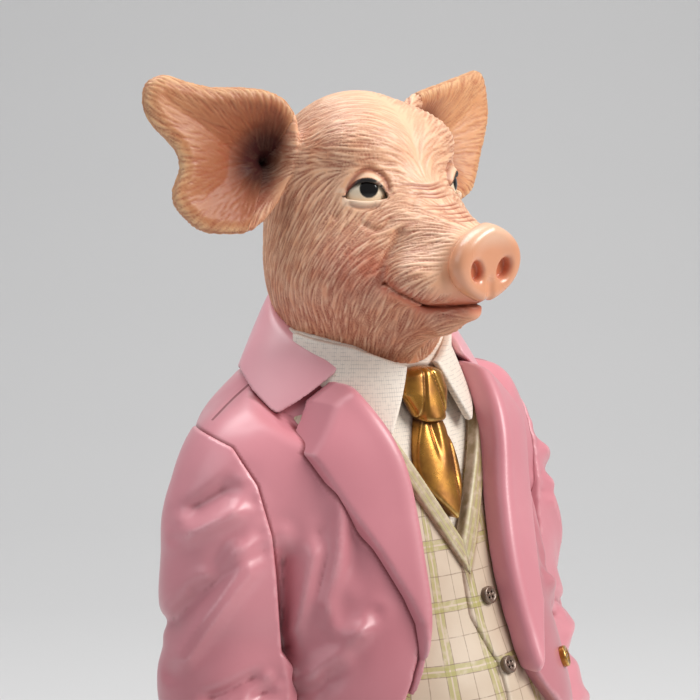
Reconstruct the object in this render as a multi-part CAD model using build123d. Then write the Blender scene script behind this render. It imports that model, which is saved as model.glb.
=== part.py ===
"""Standing pig figurine in a three-piece suit: cast pieces glued over dowels and rods.

Millimetres, +Z up, the pig faces -Y and its right side is -X. The origin is on the floor,
under the middle of the figure.
"""

from build123d import *
import os
from typing import NamedTuple


class Level(NamedTuple):
    """One level section of a rounded form, measured from the body axis."""

    z: float
    half_width: float
    front: float
    back: float


# Where the body axis stands, so that the figure is centred over the origin
BODY_AXIS_Y = 9.7

# Walls, clearances and glue joints
GLUE_GAP = 0.3
PEG_CLEARANCE = 0.2
CORE_WALL = 7.0
VEST_THICKNESS = 2.4
JACKET_THICKNESS = 4.0
LAPEL_THICKNESS = 2.6
VEST_LAPEL_THICKNESS = 1.6
SHIRT_LEAF_THICKNESS = 2.4
TIE_THICKNESS = 3.6

# Body levels from the hem of the jacket up, each a rise above the one below
HEM_Z = 122.0
HIP_RISE = 18.0
WAIST_RISE = 18.0
BELLY_RISE = 32.0
RIBS_RISE = 32.0
CHEST_RISE = 28.0
SHOULDER_RISE = 18.5
NECK_RISE = 12.5
HIP_NARROWER = 1.5
WAIST_NARROWER = 0.5
BELLY_WIDER = 1.5
CHEST_NARROWER = 1.0
SHOULDER_NARROWER = 2.5
HEM = Level(z=HEM_Z, half_width=40.0, front=37.0, back=29.0)
HIP = Level(z=HEM.z + HIP_RISE, half_width=HEM.half_width - HIP_NARROWER, front=44.0, back=28.5)
WAIST = Level(z=HIP.z + WAIST_RISE, half_width=HIP.half_width - WAIST_NARROWER, front=50.0, back=29.0)
BELLY = Level(z=WAIST.z + BELLY_RISE, half_width=WAIST.half_width + BELLY_WIDER, front=55.5, back=31.0)
RIBS = Level(z=BELLY.z + RIBS_RISE, half_width=BELLY.half_width, front=43.0, back=32.5)
CHEST = Level(z=RIBS.z + CHEST_RISE, half_width=RIBS.half_width - CHEST_NARROWER, front=33.0, back=31.0)
SHOULDER = Level(
    z=CHEST.z + SHOULDER_RISE, half_width=CHEST.half_width - SHOULDER_NARROWER, front=26.0, back=27.5
)
NECK_ROOT = Level(z=SHOULDER.z + NECK_RISE, half_width=24.0, front=20.5, back=20.0)
TORSO = (WAIST, BELLY, RIBS, CHEST, SHOULDER, NECK_ROOT)
SHOULDER_LIFT = 0.25
NECK_LIFT = 0.1

# Jacket: front opening, in front view, and neck opening
NECK_OPENING_HALF_WIDTH = 25.5
NECK_OPENING_HALF_DEPTH = 22.5
OPENING_TOP = 19.0
OPENING_CHEST = 15.0
OPENING_BELLY = 21.0
OPENING_WRIST_SPARE = 16.0
OPENING_CHEST_DROP = 8.0
OPENING_BELLY_RISE = 16.0
OPENING_WRIST_RISE = 14.0

# Lapels and collar, in front view
GORGE_LIFT = 1.0
GORGE_OUT = 40.0
GORGE_DROP = 13.0
NOTCH = 1.2
LAPEL_TIP = 39.0
LAPEL_TIP_DROP = 15.5
LAPEL_END_RISE = 6.0
COLLAR_TOP_RISE = 14.5
COLLAR_HALF_WIDTH = 26.5
COLLAR_HALF_DEPTH = 25.0
COLLAR_FLARE = 7.5
COLLAR_HEIGHT = 17.0
COLLAR_THICKNESS = 3.2
COLLAR_TOP_TILT = 24.0
COLLAR_LOW_TILT = 14.0

# Shirt collar and tie
BAND_HEIGHT = 9.0
BAND_THICKNESS = 2.0
BAND_CLEARANCE = 0.4
BAND_TILT = 20.0
LEAF_SPREAD = 14.0
LEAF_DROP = 12.0
LEAF_INNER = 6.0
LEAF_OUTER = 22.0
KNOT_TOP_WIDTH = 12.0
KNOT_WIDTH = 15.0
KNOT_BOTTOM_WIDTH = 8.5
KNOT_DEPTH = 7.5
KNOT_HEIGHT = 12.5
KNOT_DROP = 10.5
TIE_NECK_WIDTH = 7.0
TIE_WIDTH = 14.5
TIE_WIDEST_DROP = 11.5
TIE_TIP_DROP = 24.5

# Vest in front view
VEST_V_DROP = 10.0
VEST_V_HALF_WIDTH = 15.5
VEST_V_HEIGHT = 26.0
VEST_HEM_DROP = 8.0
VEST_POINT_DROP = 8.0
VEST_LAPEL_WIDTH = 7.0
VEST_EDGE_X = 3.0
VEST_BUTTON_DIAMETER = 4.6
VEST_BUTTON_THICKNESS = 1.6
VEST_BUTTON_X = 4.5
VEST_BUTTON_DROP = 14.5
VEST_BUTTON_PITCH = 17.0
VEST_BUTTON_COUNT = 4
JACKET_BUTTON_DIAMETER = 5.5
JACKET_BUTTON_THICKNESS = 2.2
JACKET_BUTTON_X = 28.0
JACKET_BUTTON_RISE = 15.0

# Sleeves: how far the arm axis stands out of the body, forward of its middle, and along it
SHOULDER_OUT = 4.5
UPPER_ARM_OUT = 7.0
ELBOW_OUT = 11.3
FOREARM_OUT = 11.5
WRIST_OUT = 6.0
SHOULDER_FORWARD = 3.0
UPPER_ARM_FORWARD = 4.0
ELBOW_FORWARD = 7.0
FOREARM_FORWARD = 21.0
WRIST_FORWARD = 35.0
SHOULDER_POINT_RISE = 8.0
UPPER_ARM_RISE = 14.0
ELBOW_RISE = 12.0
FOREARM_RISE = 16.0
WRIST_DROP = 4.0
SLEEVE_CAP_RADIUS = 17.0
UPPER_ARM_RADIUS = 17.3
ELBOW_RADIUS = 17.0
FOREARM_RADIUS = 14.5
SLEEVE_END_RADIUS = 12.5
CUFF_RADIUS = 10.4
CUFF_LENGTH = 5.0
ARM_DOWEL_DIAMETER = 5.0
ARM_DOWEL_LENGTH = 26.0
ARM_DOWEL_DROP = 10.0

# Trousers, rods, shoes and pads
THIGH_DROP = 24.0
SEAT_RISE = 8.0
THIGH_X = 20.5
LEG_X = 22.5
THIGH_HALF_WIDTH = 19.8
THIGH_HALF_DEPTH = 27.5
HIP_HALF_DEPTH = 31.0
KNEE_SHARE = 0.63
KNEE_HALF_WIDTH = 18.0
KNEE_HALF_DEPTH = 20.0
TURNUP_HALF_WIDTH = 17.5
TURNUP_HALF_DEPTH = 20.5
LEG_CENTRE_Y = -6.0
TURNUP_Z = 22.0
SPIGOT_HEIGHT = 10.0
ROD_DIAMETER = 6.0
ROD_LENGTH = 62.0
SHOE_LENGTH = 76.0
SHOE_HALF_WIDTH = 14.5
SHOE_HEEL_BACK = 17.0
INSTEP_SETBACK = 5.0
SHOE_TOP_HALF_LENGTH = 17.0
SHOE_TOP_HALF_WIDTH = 11.5
SOLE_THICKNESS = 4.5
SOLE_EDGE = 1.2
PAD_THICKNESS = 1.5
PAD_INSET = 2.5

# Head, from the neck up; the snout and the jaw run forward out of it
THROAT_RISE = 0.5
COLLAR_LINE_RISE = 9.5
JOWL_RISE = 11.0
CHEEK_RISE = 13.0
EYE_LINE_RISE = 13.0
BROW_RISE = 12.0
FOREHEAD_RISE = 10.0
CROWN_RISE = 7.0
CROWN_BACK = 3.0
THROAT = Level(z=NECK_ROOT.z + THROAT_RISE, half_width=19.5, front=18.0, back=18.0)
COLLAR_LINE = Level(z=THROAT.z + COLLAR_LINE_RISE, half_width=21.5, front=22.5, back=20.0)
JOWL = Level(z=COLLAR_LINE.z + JOWL_RISE, half_width=26.5, front=29.0, back=22.5)
CHEEK = Level(z=JOWL.z + CHEEK_RISE, half_width=27.5, front=31.0, back=24.0)
EYE_LINE = Level(z=CHEEK.z + EYE_LINE_RISE, half_width=26.0, front=27.0, back=25.0)
BROW = Level(z=EYE_LINE.z + BROW_RISE, half_width=22.0, front=20.5, back=22.5)
FOREHEAD = Level(z=BROW.z + FOREHEAD_RISE, half_width=14.5, front=10.5, back=16.5)
CROWN_Z = FOREHEAD.z + CROWN_RISE
HEAD = (THROAT, COLLAR_LINE, JOWL, CHEEK, EYE_LINE, BROW, FOREHEAD)
SNOUT_ROOT_REACH = 16.0
SNOUT_ROOT_LIFT = 2.0
SNOUT_ROOT_HALF_WIDTH = 24.0
SNOUT_ROOT_HALF_HEIGHT = 18.5
SNOUT_MID_REACH = 34.0
SNOUT_MID_DROP = 0.5
SNOUT_MID_HALF_WIDTH = 16.5
SNOUT_MID_HALF_HEIGHT = 13.0
SNOUT_END_REACH = 45.0
SNOUT_END_DROP = 1.5
SNOUT_END_HALF_WIDTH = 10.0
SNOUT_END_HALF_HEIGHT = 9.4
SNOUT_UPTURN = -5.0
JAW_ROOT_REACH = 12.0
JAW_ROOT_HALF_WIDTH = 19.0
JAW_ROOT_HALF_HEIGHT = 10.0
JAW_END_REACH = 43.0
JAW_END_LIFT = 1.0
JAW_END_HALF_WIDTH = 8.0
JAW_END_HALF_HEIGHT = 4.0
PAD_HALF_WIDTH = 10.9
PAD_HALF_HEIGHT = 10.2
SNOUT_PAD_THICKNESS = 5.0
SNOUT_PAD_ROUNDING = 1.8
NOSTRIL_SPACING = 9.6
NOSTRIL_DROP = 1.5
NOSTRIL_DIAMETER = 4.8
NOSTRIL_DEPTH = 3.4
SNOUT_PEG_DIAMETER = 6.0
SNOUT_PEG_LENGTH = 7.0
EYE_X = 12.2
EYE_REACH = 15.7
EYE_LIFT = 2.4
EYE_RADIUS = 6.5
EYE_TURN = 40.0
LID_THICKNESS = 1.1
LID_OPENING_WIDTH = 11.6
LID_OPENING_HEIGHT = 6.0
LID_OPENING_DROP = 0.5
CHEEK_BALL_RADIUS = 13.0
CHEEK_BALL_X = 13.5
CHEEK_BALL_REACH = 15.5
CHEEK_BALL_RISE = 7.0
LIP_BALL_RADIUS = 8.0
LIP_BALL_X = 10.0
LIP_BALL_REACH = 34.5
LIP_BALL_RISE = 7.5
BROW_BALL_RADIUS = 9.5
BROW_BALL_X = 8.5
BROW_BALL_REACH = 9.0
BROW_BALL_DROP = 3.5
NECK_DOWEL_DIAMETER = 12.0
NECK_DOWEL_LENGTH = 40.0

# Ears: sections from the root to the tip, each further out, back and up from the brow's side
class EarSection(NamedTuple):
    """One upright section of an ear, measured from the middle of the brow."""

    out: float
    back: float
    rise: float
    half_thick: float
    half_tall: float


EAR_ROOT = EarSection(out=19.0, back=2.0, rise=-2.0, half_thick=8.0, half_tall=11.0)
EAR_BASE = EarSection(out=27.0, back=4.0, rise=-1.5, half_thick=7.0, half_tall=16.5)
EAR_BROAD = EarSection(out=41.0, back=8.0, rise=-2.0, half_thick=5.0, half_tall=20.0)
EAR_NARROW = EarSection(out=52.0, back=11.0, rise=6.0, half_thick=3.2, half_tall=12.5)
EAR_TIP = EarSection(out=61.0, back=13.0, rise=14.0, half_thick=1.4, half_tall=3.5)
EAR_SECTIONS = (EAR_ROOT, EAR_BASE, EAR_BROAD, EAR_NARROW, EAR_TIP)
EAR_WALL = 2.6
EAR_PEG_DIAMETER = 6.0
EAR_PEG_LENGTH = 14.0

BIG = 400.0
SIDES = {"right": -1, "left": 1}


def ring(level, grow=0.0, lift=0.0):
    """A level section, grown outward and lifted."""
    half_depth = (level.front + level.back) / 2 + grow
    centre_y = (level.back - level.front) / 2
    return Pos(0, centre_y, level.z + lift) * Ellipse(level.half_width + grow, half_depth)


def form(levels, grow=0.0, lifts=None):
    """A rounded solid through level sections."""
    lifts = lifts or [0.0] * len(levels)
    return loft([ring(level, grow, lift) for level, lift in zip(levels, lifts)])


def torso_form(grow):
    """The torso grown outward, shoulders included, from the hem up."""
    levels = (HEM, HIP) + TORSO
    lifts = [0.0] * (len(levels) - 2) + [grow * SHOULDER_LIFT, grow * NECK_LIFT]
    return form(levels, grow, lifts)


def front_prism(points):
    """A front-view outline carried through the front half of the figure."""
    face = make_face(Polyline(*points, close=True))
    return extrude(Plane.XZ * face, amount=BIG / 2)


def mirrored(points, side):
    """Front-view points of the left side, carried to the given side."""
    return [(side * x, z) for x, z in points]


def shell(inner, thickness):
    """A layer that follows the torso, from an inner offset outward."""
    return torso_form(inner + thickness) - torso_form(inner)


def neck_prism():
    """The space round the neck that the garments leave open."""
    face = Ellipse(NECK_OPENING_HALF_WIDTH, NECK_OPENING_HALF_DEPTH)
    return extrude(Pos(0, 0, CHEST.z) * face, amount=BIG / 4)


def below(z):
    """Everything under a height."""
    return Pos(0, 0, z - BIG / 2) * Box(BIG, BIG, BIG)


def above(z):
    """Everything over a height."""
    return Pos(0, 0, z + BIG / 2) * Box(BIG, BIG, BIG)


def tilted_ring(half_width, half_depth, centre_y, z, tilt):
    """An ellipse face whose back edge is raised by the tilt."""
    return Pos(0, centre_y, z) * Rot(tilt, 0, 0) * Ellipse(half_width, half_depth)


def surface_reach(solid, x, z):
    """How far forward a solid reaches along a line at the given place."""
    line = Line((x, -BIG / 2, z), (x, 0, z))
    inside = solid.intersect(line)
    return min(v.Y for v in inside.vertices())


def button(solid, x, z, diameter, thickness):
    """A disc lying on a solid's front, turned to face straight out of it."""
    step = 2.0
    reach = surface_reach(solid, x, z)
    slope_z = (surface_reach(solid, x, z + step) - surface_reach(solid, x, z - step)) / (2 * step)
    slope_x = (surface_reach(solid, x + step, z) - surface_reach(solid, x - step, z)) / (2 * step)
    normal = Vector(slope_x, -1, slope_z).normalized()
    seat = Vector(x, reach, z) + normal * (GLUE_GAP * 0.5)
    disc = extrude(Plane(origin=seat, z_dir=normal) * Circle(diameter / 2), amount=thickness)
    rim = disc.faces().sort_by(lambda f: (f.center() - seat).dot(normal))[-1].edges()
    return fillet(rim, thickness * 0.35) - solid


# Offsets of the layers, counted from the torso core
VEST_IN = GLUE_GAP
VEST_OUT = VEST_IN + VEST_THICKNESS
VEST_LAPEL_IN = VEST_OUT + GLUE_GAP
VEST_LAPEL_OUT = VEST_LAPEL_IN + VEST_LAPEL_THICKNESS
JACKET_IN = VEST_LAPEL_OUT + GLUE_GAP
JACKET_OUT = JACKET_IN + JACKET_THICKNESS
LAPEL_IN = JACKET_OUT + GLUE_GAP

# Heights and places that follow from the sizes above
GORGE_Z = NECK_ROOT.z + GORGE_LIFT
OPENING_CHEST_Z = CHEST.z - OPENING_CHEST_DROP
OPENING_BELLY_Z = BELLY.z + OPENING_BELLY_RISE
OPENING_WRIST_Z = WAIST.z + OPENING_WRIST_RISE
OPENING_WRIST = WAIST.half_width + OPENING_WRIST_SPARE
LAPEL_END_Z = BELLY.z + LAPEL_END_RISE
COLLAR_TOP_Z = NECK_ROOT.z + COLLAR_TOP_RISE
KNOT_BOTTOM_Z = NECK_ROOT.z - KNOT_DROP
TIE_WIDEST_Z = KNOT_BOTTOM_Z - TIE_WIDEST_DROP
TIE_TIP_Z = KNOT_BOTTOM_Z - TIE_TIP_DROP
VEST_V_Z = CHEST.z - VEST_V_DROP
VEST_V_TOP_Z = VEST_V_Z + VEST_V_HEIGHT
VEST_HEM_Z = WAIST.z - VEST_HEM_DROP
VEST_POINT_Z = VEST_HEM_Z - VEST_POINT_DROP
VEST_BUTTON_FIRST_Z = VEST_V_Z - VEST_BUTTON_DROP
JACKET_BUTTON_Z = BELLY.z + JACKET_BUTTON_RISE
ARM_DOWEL_Z = CHEST.z - ARM_DOWEL_DROP
THIGH_Z = HEM.z - THIGH_DROP
SEAT_Z = HEM.z + SEAT_RISE
KNEE_Z = TURNUP_Z + (THIGH_Z - TURNUP_Z) * KNEE_SHARE
SNOUT_ROOT_Z = CHEEK.z + SNOUT_ROOT_LIFT
SNOUT_MID_Z = CHEEK.z - SNOUT_MID_DROP
SNOUT_END_Z = CHEEK.z - SNOUT_END_DROP
JAW_END_Z = JOWL.z + JAW_END_LIFT
EYE_Z = EYE_LINE.z + EYE_LIFT

nodes = {}

# Torso core, hollow from below, with a socket for the neck dowel
core_body = torso_form(0) & above(WAIST.z)
core_hollow = torso_form(-CORE_WALL) & below(CHEST.z)
neck_socket = Pos(0, 0, NECK_ROOT.z) * Cylinder(
    NECK_DOWEL_DIAMETER / 2 + PEG_CLEARANCE, NECK_DOWEL_LENGTH + 2 * PEG_CLEARANCE
)
torso_core = core_body - core_hollow - neck_socket
nodes["neck_dowel"] = Pos(0, 0, NECK_ROOT.z) * Cylinder(NECK_DOWEL_DIAMETER / 2, NECK_DOWEL_LENGTH)

# Vest: two fronts that meet under the buttons, with a lapel along each side of the V
vest_layer = shell(VEST_IN, VEST_THICKNESS)
vest_lapel_layer = shell(VEST_LAPEL_IN, VEST_LAPEL_THICKNESS)
vest_side = RIBS.half_width * 0.8
for name, side in SIDES.items():
    edge = VEST_EDGE_X + side * GLUE_GAP / 2
    outline = [
        (edge, VEST_V_Z),
        (side * VEST_V_HALF_WIDTH, VEST_V_TOP_Z),
        (side * vest_side, VEST_V_TOP_Z),
        (side * vest_side, VEST_HEM_Z),
        (side * (VEST_V_HALF_WIDTH - 3), VEST_POINT_Z),
        (edge, VEST_HEM_Z),
    ]
    nodes[f"vest_{name}_front"] = vest_layer & front_prism(outline)
    lapel = [
        (side * GLUE_GAP, VEST_V_Z),
        (side * VEST_V_HALF_WIDTH, VEST_V_TOP_Z),
        (side * (VEST_V_HALF_WIDTH + VEST_LAPEL_WIDTH * 0.4), VEST_V_TOP_Z),
        (side * (VEST_V_HALF_WIDTH + VEST_LAPEL_WIDTH * 0.4), VEST_V_TOP_Z - VEST_LAPEL_WIDTH * 2),
        (side * GLUE_GAP, VEST_V_Z - VEST_LAPEL_WIDTH),
    ]
    nodes[f"vest_{name}_lapel"] = vest_lapel_layer & front_prism(lapel)

vest_outside = torso_form(VEST_OUT)
nodes["vest_buttons"] = [
    button(
        vest_outside,
        VEST_BUTTON_X,
        VEST_BUTTON_FIRST_Z - i * VEST_BUTTON_PITCH,
        VEST_BUTTON_DIAMETER,
        VEST_BUTTON_THICKNESS,
    )
    for i in range(VEST_BUTTON_COUNT)
]

# Shirt collar and tie
leaf_layer = shell(GLUE_GAP, SHIRT_LEAF_THICKNESS) - neck_prism()
leaf_top_z = NECK_ROOT.z + SHIRT_LEAF_THICKNESS
for name, side in SIDES.items():
    leaf = [
        (LEAF_INNER, leaf_top_z),
        (LEAF_SPREAD, NECK_ROOT.z - LEAF_DROP),
        (LEAF_OUTER, NECK_ROOT.z - LEAF_DROP * 0.35),
        (LEAF_OUTER, leaf_top_z),
    ]
    nodes[f"shirt_collar_{name}_leaf"] = leaf_layer & front_prism(mirrored(leaf, side))

band_base = NECK_ROOT.z + SHIRT_LEAF_THICKNESS + GLUE_GAP * 2


def band_solid(grow):
    """The neck band as a solid plug, wider at the top like the neck it holds."""
    low = Pos(0, 0, band_base) * Ellipse(THROAT.half_width + grow, THROAT.front + grow)
    top = tilted_ring(
        COLLAR_LINE.half_width + grow,
        COLLAR_LINE.front + grow,
        0,
        band_base + BAND_HEIGHT,
        BAND_TILT,
    )
    return loft([low, top])


KNOT_REACH = CHEST.front - (CHEST.front - SHOULDER.front) * 0.75
knot_sections = []
for share, width in ((0.0, KNOT_BOTTOM_WIDTH), (0.6, KNOT_WIDTH), (1.0, KNOT_TOP_WIDTH)):
    knot_y = -(KNOT_REACH + KNOT_DEPTH / 2) + share * 4.0
    knot_z = KNOT_BOTTOM_Z + share * KNOT_HEIGHT
    knot_sections.append(Pos(0, knot_y, knot_z) * Ellipse(width / 2, KNOT_DEPTH / 2))
knot_body = loft(knot_sections)

tie_layer = shell(GLUE_GAP, TIE_THICKNESS)
tie_outline = [
    (-TIE_NECK_WIDTH / 2, KNOT_BOTTOM_Z - GLUE_GAP),
    (-TIE_WIDTH / 2, TIE_WIDEST_Z),
    (0, TIE_TIP_Z),
    (TIE_WIDTH / 2, TIE_WIDEST_Z),
    (TIE_NECK_WIDTH / 2, KNOT_BOTTOM_Z - GLUE_GAP),
]
nodes["tie_blade"] = tie_layer & front_prism(tie_outline)
leaves = nodes["shirt_collar_right_leaf"] + nodes["shirt_collar_left_leaf"]
nodes["tie_knot"] = knot_body - torso_form(GLUE_GAP) - leaves - neck_prism()

# Jacket body: a shell open down the front and round the neck
opening_side = [
    (OPENING_TOP, GORGE_Z + BIG / 20),
    (OPENING_TOP, GORGE_Z),
    (OPENING_CHEST, OPENING_CHEST_Z),
    (OPENING_BELLY, OPENING_BELLY_Z),
    (OPENING_WRIST, OPENING_WRIST_Z),
    (OPENING_WRIST, HEM.z - 1),
]
opening = front_prism(mirrored(opening_side, 1) + mirrored(opening_side, -1)[::-1])
jacket_outside = torso_form(JACKET_OUT)
jacket_body = jacket_outside - torso_form(JACKET_IN) - opening - neck_prism()

# Lapels below the gorge line, collar above it
lapel_layer = shell(LAPEL_IN, LAPEL_THICKNESS)
lapel_outside = torso_form(LAPEL_IN + LAPEL_THICKNESS)
gorge_in = (OPENING_TOP, GORGE_Z)
gorge_end = (GORGE_OUT, GORGE_Z - GORGE_DROP)
for name, side in SIDES.items():
    lapel = [
        gorge_in,
        (LAPEL_TIP, GORGE_Z - LAPEL_TIP_DROP),
        (LAPEL_TIP - 5, (GORGE_Z + OPENING_CHEST_Z) / 2),
        (OPENING_BELLY + 1, LAPEL_END_Z),
        (OPENING_BELLY, OPENING_BELLY_Z),
        (OPENING_CHEST, OPENING_CHEST_Z),
    ]
    nodes[f"{name}_lapel"] = (lapel_layer & front_prism(mirrored(lapel, side))) - neck_prism()


def collar_solid(grow):
    """The turned-down collar as a solid plug, flaring toward its lower edge."""
    top_width = COLLAR_HALF_WIDTH + grow
    top_depth = COLLAR_HALF_DEPTH + grow
    low = tilted_ring(
        top_width + COLLAR_FLARE,
        top_depth + COLLAR_FLARE,
        0,
        COLLAR_TOP_Z - COLLAR_HEIGHT,
        COLLAR_LOW_TILT,
    )
    top = tilted_ring(top_width, top_depth, 0, COLLAR_TOP_Z, COLLAR_TOP_TILT)
    return loft([low, top])


under_gorge = [
    (0, GORGE_Z + NOTCH + (GORGE_DROP + NOTCH) * OPENING_TOP / (GORGE_OUT - OPENING_TOP)),
    (gorge_end[0], gorge_end[1] + NOTCH),
    (BIG / 4, gorge_end[1] - BIG / 4),
    (0, gorge_end[1] - BIG / 4),
]
collar = collar_solid(0) - collar_solid(-COLLAR_THICKNESS) - lapel_outside
collar_gap = [
    (OPENING_TOP, GORGE_Z - BIG / 20),
    (OPENING_TOP, GORGE_Z + BIG / 8),
]
collar -= front_prism(mirrored(collar_gap, 1) + mirrored(collar_gap, -1)[::-1])
for side in SIDES.values():
    collar -= front_prism(mirrored(under_gorge, side))
nodes["jacket_collar"] = collar - band_solid(BAND_CLEARANCE + BAND_THICKNESS + GLUE_GAP)

# Sleeves, seated on the jacket's sides over a dowel
ARM = (
    (CHEST.half_width + SHOULDER_OUT, -SHOULDER_FORWARD, CHEST.z + SHOULDER_POINT_RISE),
    (RIBS.half_width + UPPER_ARM_OUT, -UPPER_ARM_FORWARD, RIBS.z + UPPER_ARM_RISE),
    (BELLY.half_width + ELBOW_OUT, -ELBOW_FORWARD, BELLY.z + ELBOW_RISE),
    (WAIST.half_width + FOREARM_OUT, -FOREARM_FORWARD, WAIST.z + FOREARM_RISE),
    (WAIST.half_width + WRIST_OUT, -WRIST_FORWARD, WAIST.z - WRIST_DROP),
)
ARM_RADII = (
    SLEEVE_CAP_RADIUS,
    UPPER_ARM_RADIUS,
    ELBOW_RADIUS,
    FOREARM_RADIUS,
    SLEEVE_END_RADIUS,
)


def arm_planes():
    """Planes square to the right arm at each of its points."""
    points = [Vector(-x, y, z) for x, y, z in ARM]
    planes = []
    for i, point in enumerate(points):
        before = points[max(i - 1, 0)]
        after = points[min(i + 1, len(points) - 1)]
        planes.append(Plane(origin=point, x_dir=(1, 0, 0), z_dir=after - before))
    return planes


def arm_dowel(clearance):
    """The right arm's dowel, through the jacket's side."""
    place = Pos(-RIBS.half_width - JACKET_OUT, -UPPER_ARM_FORWARD, ARM_DOWEL_Z) * Rot(0, 90, 0)
    return place * Cylinder(ARM_DOWEL_DIAMETER / 2 + clearance, ARM_DOWEL_LENGTH + 2 * clearance)


arm = arm_planes()
wrist = arm[-1]
sleeve = loft([plane * Circle(radius) for plane, radius in zip(arm, ARM_RADII)])
sleeve += Pos(*arm[0].origin) * Sphere(SLEEVE_CAP_RADIUS)
sleeve -= torso_form(JACKET_OUT + GLUE_GAP)
sleeve -= extrude(wrist * Circle(CUFF_RADIUS + GLUE_GAP), amount=-CUFF_LENGTH)
sleeve -= arm_dowel(PEG_CLEARANCE)
cuff = extrude(wrist.offset(GLUE_GAP - CUFF_LENGTH) * Circle(CUFF_RADIUS), amount=2 * CUFF_LENGTH)
arm_pieces = {"sleeve": sleeve, "cuff": cuff, "shoulder_dowel": arm_dowel(0)}
for piece, shape in arm_pieces.items():
    nodes[f"right_{piece}"] = shape
    nodes[f"left_{piece}"] = mirror(shape, about=Plane.YZ)
dowel_holes = arm_dowel(PEG_CLEARANCE) + mirror(arm_dowel(PEG_CLEARANCE), about=Plane.YZ)
jacket_body -= dowel_holes
torso_core -= dowel_holes

nodes["jacket_body"] = jacket_body
nodes["torso_core"] = torso_core
nodes["jacket_button"] = button(
    jacket_outside, JACKET_BUTTON_X, JACKET_BUTTON_Z, JACKET_BUTTON_DIAMETER, JACKET_BUTTON_THICKNESS
)

# Trousers: seat and two legs, with a spigot that stands in the hollow torso
seat = torso_form(0) & below(WAIST.z)
spigot = torso_form(-CORE_WALL - GLUE_GAP) & below(WAIST.z + SPIGOT_HEIGHT)
trousers = seat + spigot
for name, side in SIDES.items():
    hip = Pos(side * THIGH_X, LEG_CENTRE_Y, SEAT_Z)
    thigh = Pos(side * THIGH_X, LEG_CENTRE_Y, THIGH_Z)
    knee = Pos(side * LEG_X, LEG_CENTRE_Y, KNEE_Z)
    turnup = Pos(side * LEG_X, LEG_CENTRE_Y, TURNUP_Z)
    leg = loft(
        [
            turnup * Ellipse(TURNUP_HALF_WIDTH, TURNUP_HALF_DEPTH),
            knee * Ellipse(KNEE_HALF_WIDTH, KNEE_HALF_DEPTH),
            thigh * Ellipse(THIGH_HALF_WIDTH, THIGH_HALF_DEPTH),
            hip * Ellipse(THIGH_HALF_WIDTH, HIP_HALF_DEPTH),
        ]
    )
    trousers += leg

# Shoes, soles, pads and the rods that tie them to the legs
SOLE_TOP_Z = PAD_THICKNESS + SOLE_THICKNESS
SHOE_MIDDLE_Y = SHOE_HEEL_BACK - SHOE_LENGTH / 2


def footprint(inset):
    """Outline of the sole, drawn in by an inset."""
    length = SHOE_LENGTH - 2 * inset
    width = 2 * (SHOE_HALF_WIDTH - inset)
    return Pos(0, SHOE_MIDDLE_Y) * SlotOverall(length, width, rotation=90)


def shoe_section(y, z, half_width, half_length):
    """A level section of the shoe's upper."""
    return Pos(0, y, z) * Ellipse(half_width, half_length)


shoe_upper = loft(
    [
        shoe_section(
            SHOE_MIDDLE_Y, SOLE_TOP_Z, SHOE_HALF_WIDTH - SOLE_EDGE, SHOE_LENGTH / 2 - SOLE_EDGE
        ),
        shoe_section(
            SHOE_MIDDLE_Y + INSTEP_SETBACK,
            (SOLE_TOP_Z + TURNUP_Z) / 2,
            SHOE_HALF_WIDTH - SOLE_EDGE,
            SHOE_LENGTH / 2 - INSTEP_SETBACK - SOLE_EDGE,
        ),
        shoe_section(LEG_CENTRE_Y, TURNUP_Z - GLUE_GAP, SHOE_TOP_HALF_WIDTH, SHOE_TOP_HALF_LENGTH),
    ]
)
for name, side in SIDES.items():
    place = Pos(side * LEG_X, 0, 0)
    rod_place = Pos(side * LEG_X, LEG_CENTRE_Y, SOLE_TOP_Z - SOLE_THICKNESS / 2 + ROD_LENGTH / 2)
    rod_hole = rod_place * Cylinder(ROD_DIAMETER / 2 + PEG_CLEARANCE, ROD_LENGTH + 2 * PEG_CLEARANCE)
    nodes[f"{name}_leg_rod"] = rod_place * Cylinder(ROD_DIAMETER / 2, ROD_LENGTH)
    nodes[f"{name}_felt_pad"] = place * extrude(footprint(PAD_INSET), amount=PAD_THICKNESS)
    sole = place * Pos(0, 0, PAD_THICKNESS) * extrude(footprint(0), amount=SOLE_THICKNESS)
    nodes[f"{name}_sole"] = sole - rod_hole
    nodes[f"{name}_shoe"] = place * shoe_upper - rod_hole
    trousers -= rod_hole
nodes["trousers"] = trousers

# Head: skull, snout and jaw in one casting
def reach_plane(reach, z, tilt):
    """A plane square to the snout, at a reach in front of the body axis."""
    return Plane(Location((0, -reach, z), (90 - tilt, 0, 0)))


def skull_form(grow):
    """The skull from the throat to the crown, grown outward."""
    return loft([ring(level, grow) for level in HEAD] + [Vertex(0, CROWN_BACK, CROWN_Z + grow)])


snout_end = reach_plane(SNOUT_END_REACH, SNOUT_END_Z, SNOUT_UPTURN)
snout = loft(
    [
        reach_plane(SNOUT_ROOT_REACH, SNOUT_ROOT_Z, 0)
        * Ellipse(SNOUT_ROOT_HALF_WIDTH, SNOUT_ROOT_HALF_HEIGHT),
        reach_plane(SNOUT_MID_REACH, SNOUT_MID_Z, SNOUT_UPTURN / 2)
        * Ellipse(SNOUT_MID_HALF_WIDTH, SNOUT_MID_HALF_HEIGHT),
        snout_end * Ellipse(SNOUT_END_HALF_WIDTH, SNOUT_END_HALF_HEIGHT),
    ]
)
jaw = loft(
    [
        reach_plane(JAW_ROOT_REACH, JOWL.z, 0)
        * Ellipse(JAW_ROOT_HALF_WIDTH, JAW_ROOT_HALF_HEIGHT),
        reach_plane(JAW_END_REACH, JAW_END_Z, 0) * Ellipse(JAW_END_HALF_WIDTH, JAW_END_HALF_HEIGHT),
    ]
)
head = skull_form(0) + snout + jaw
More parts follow.
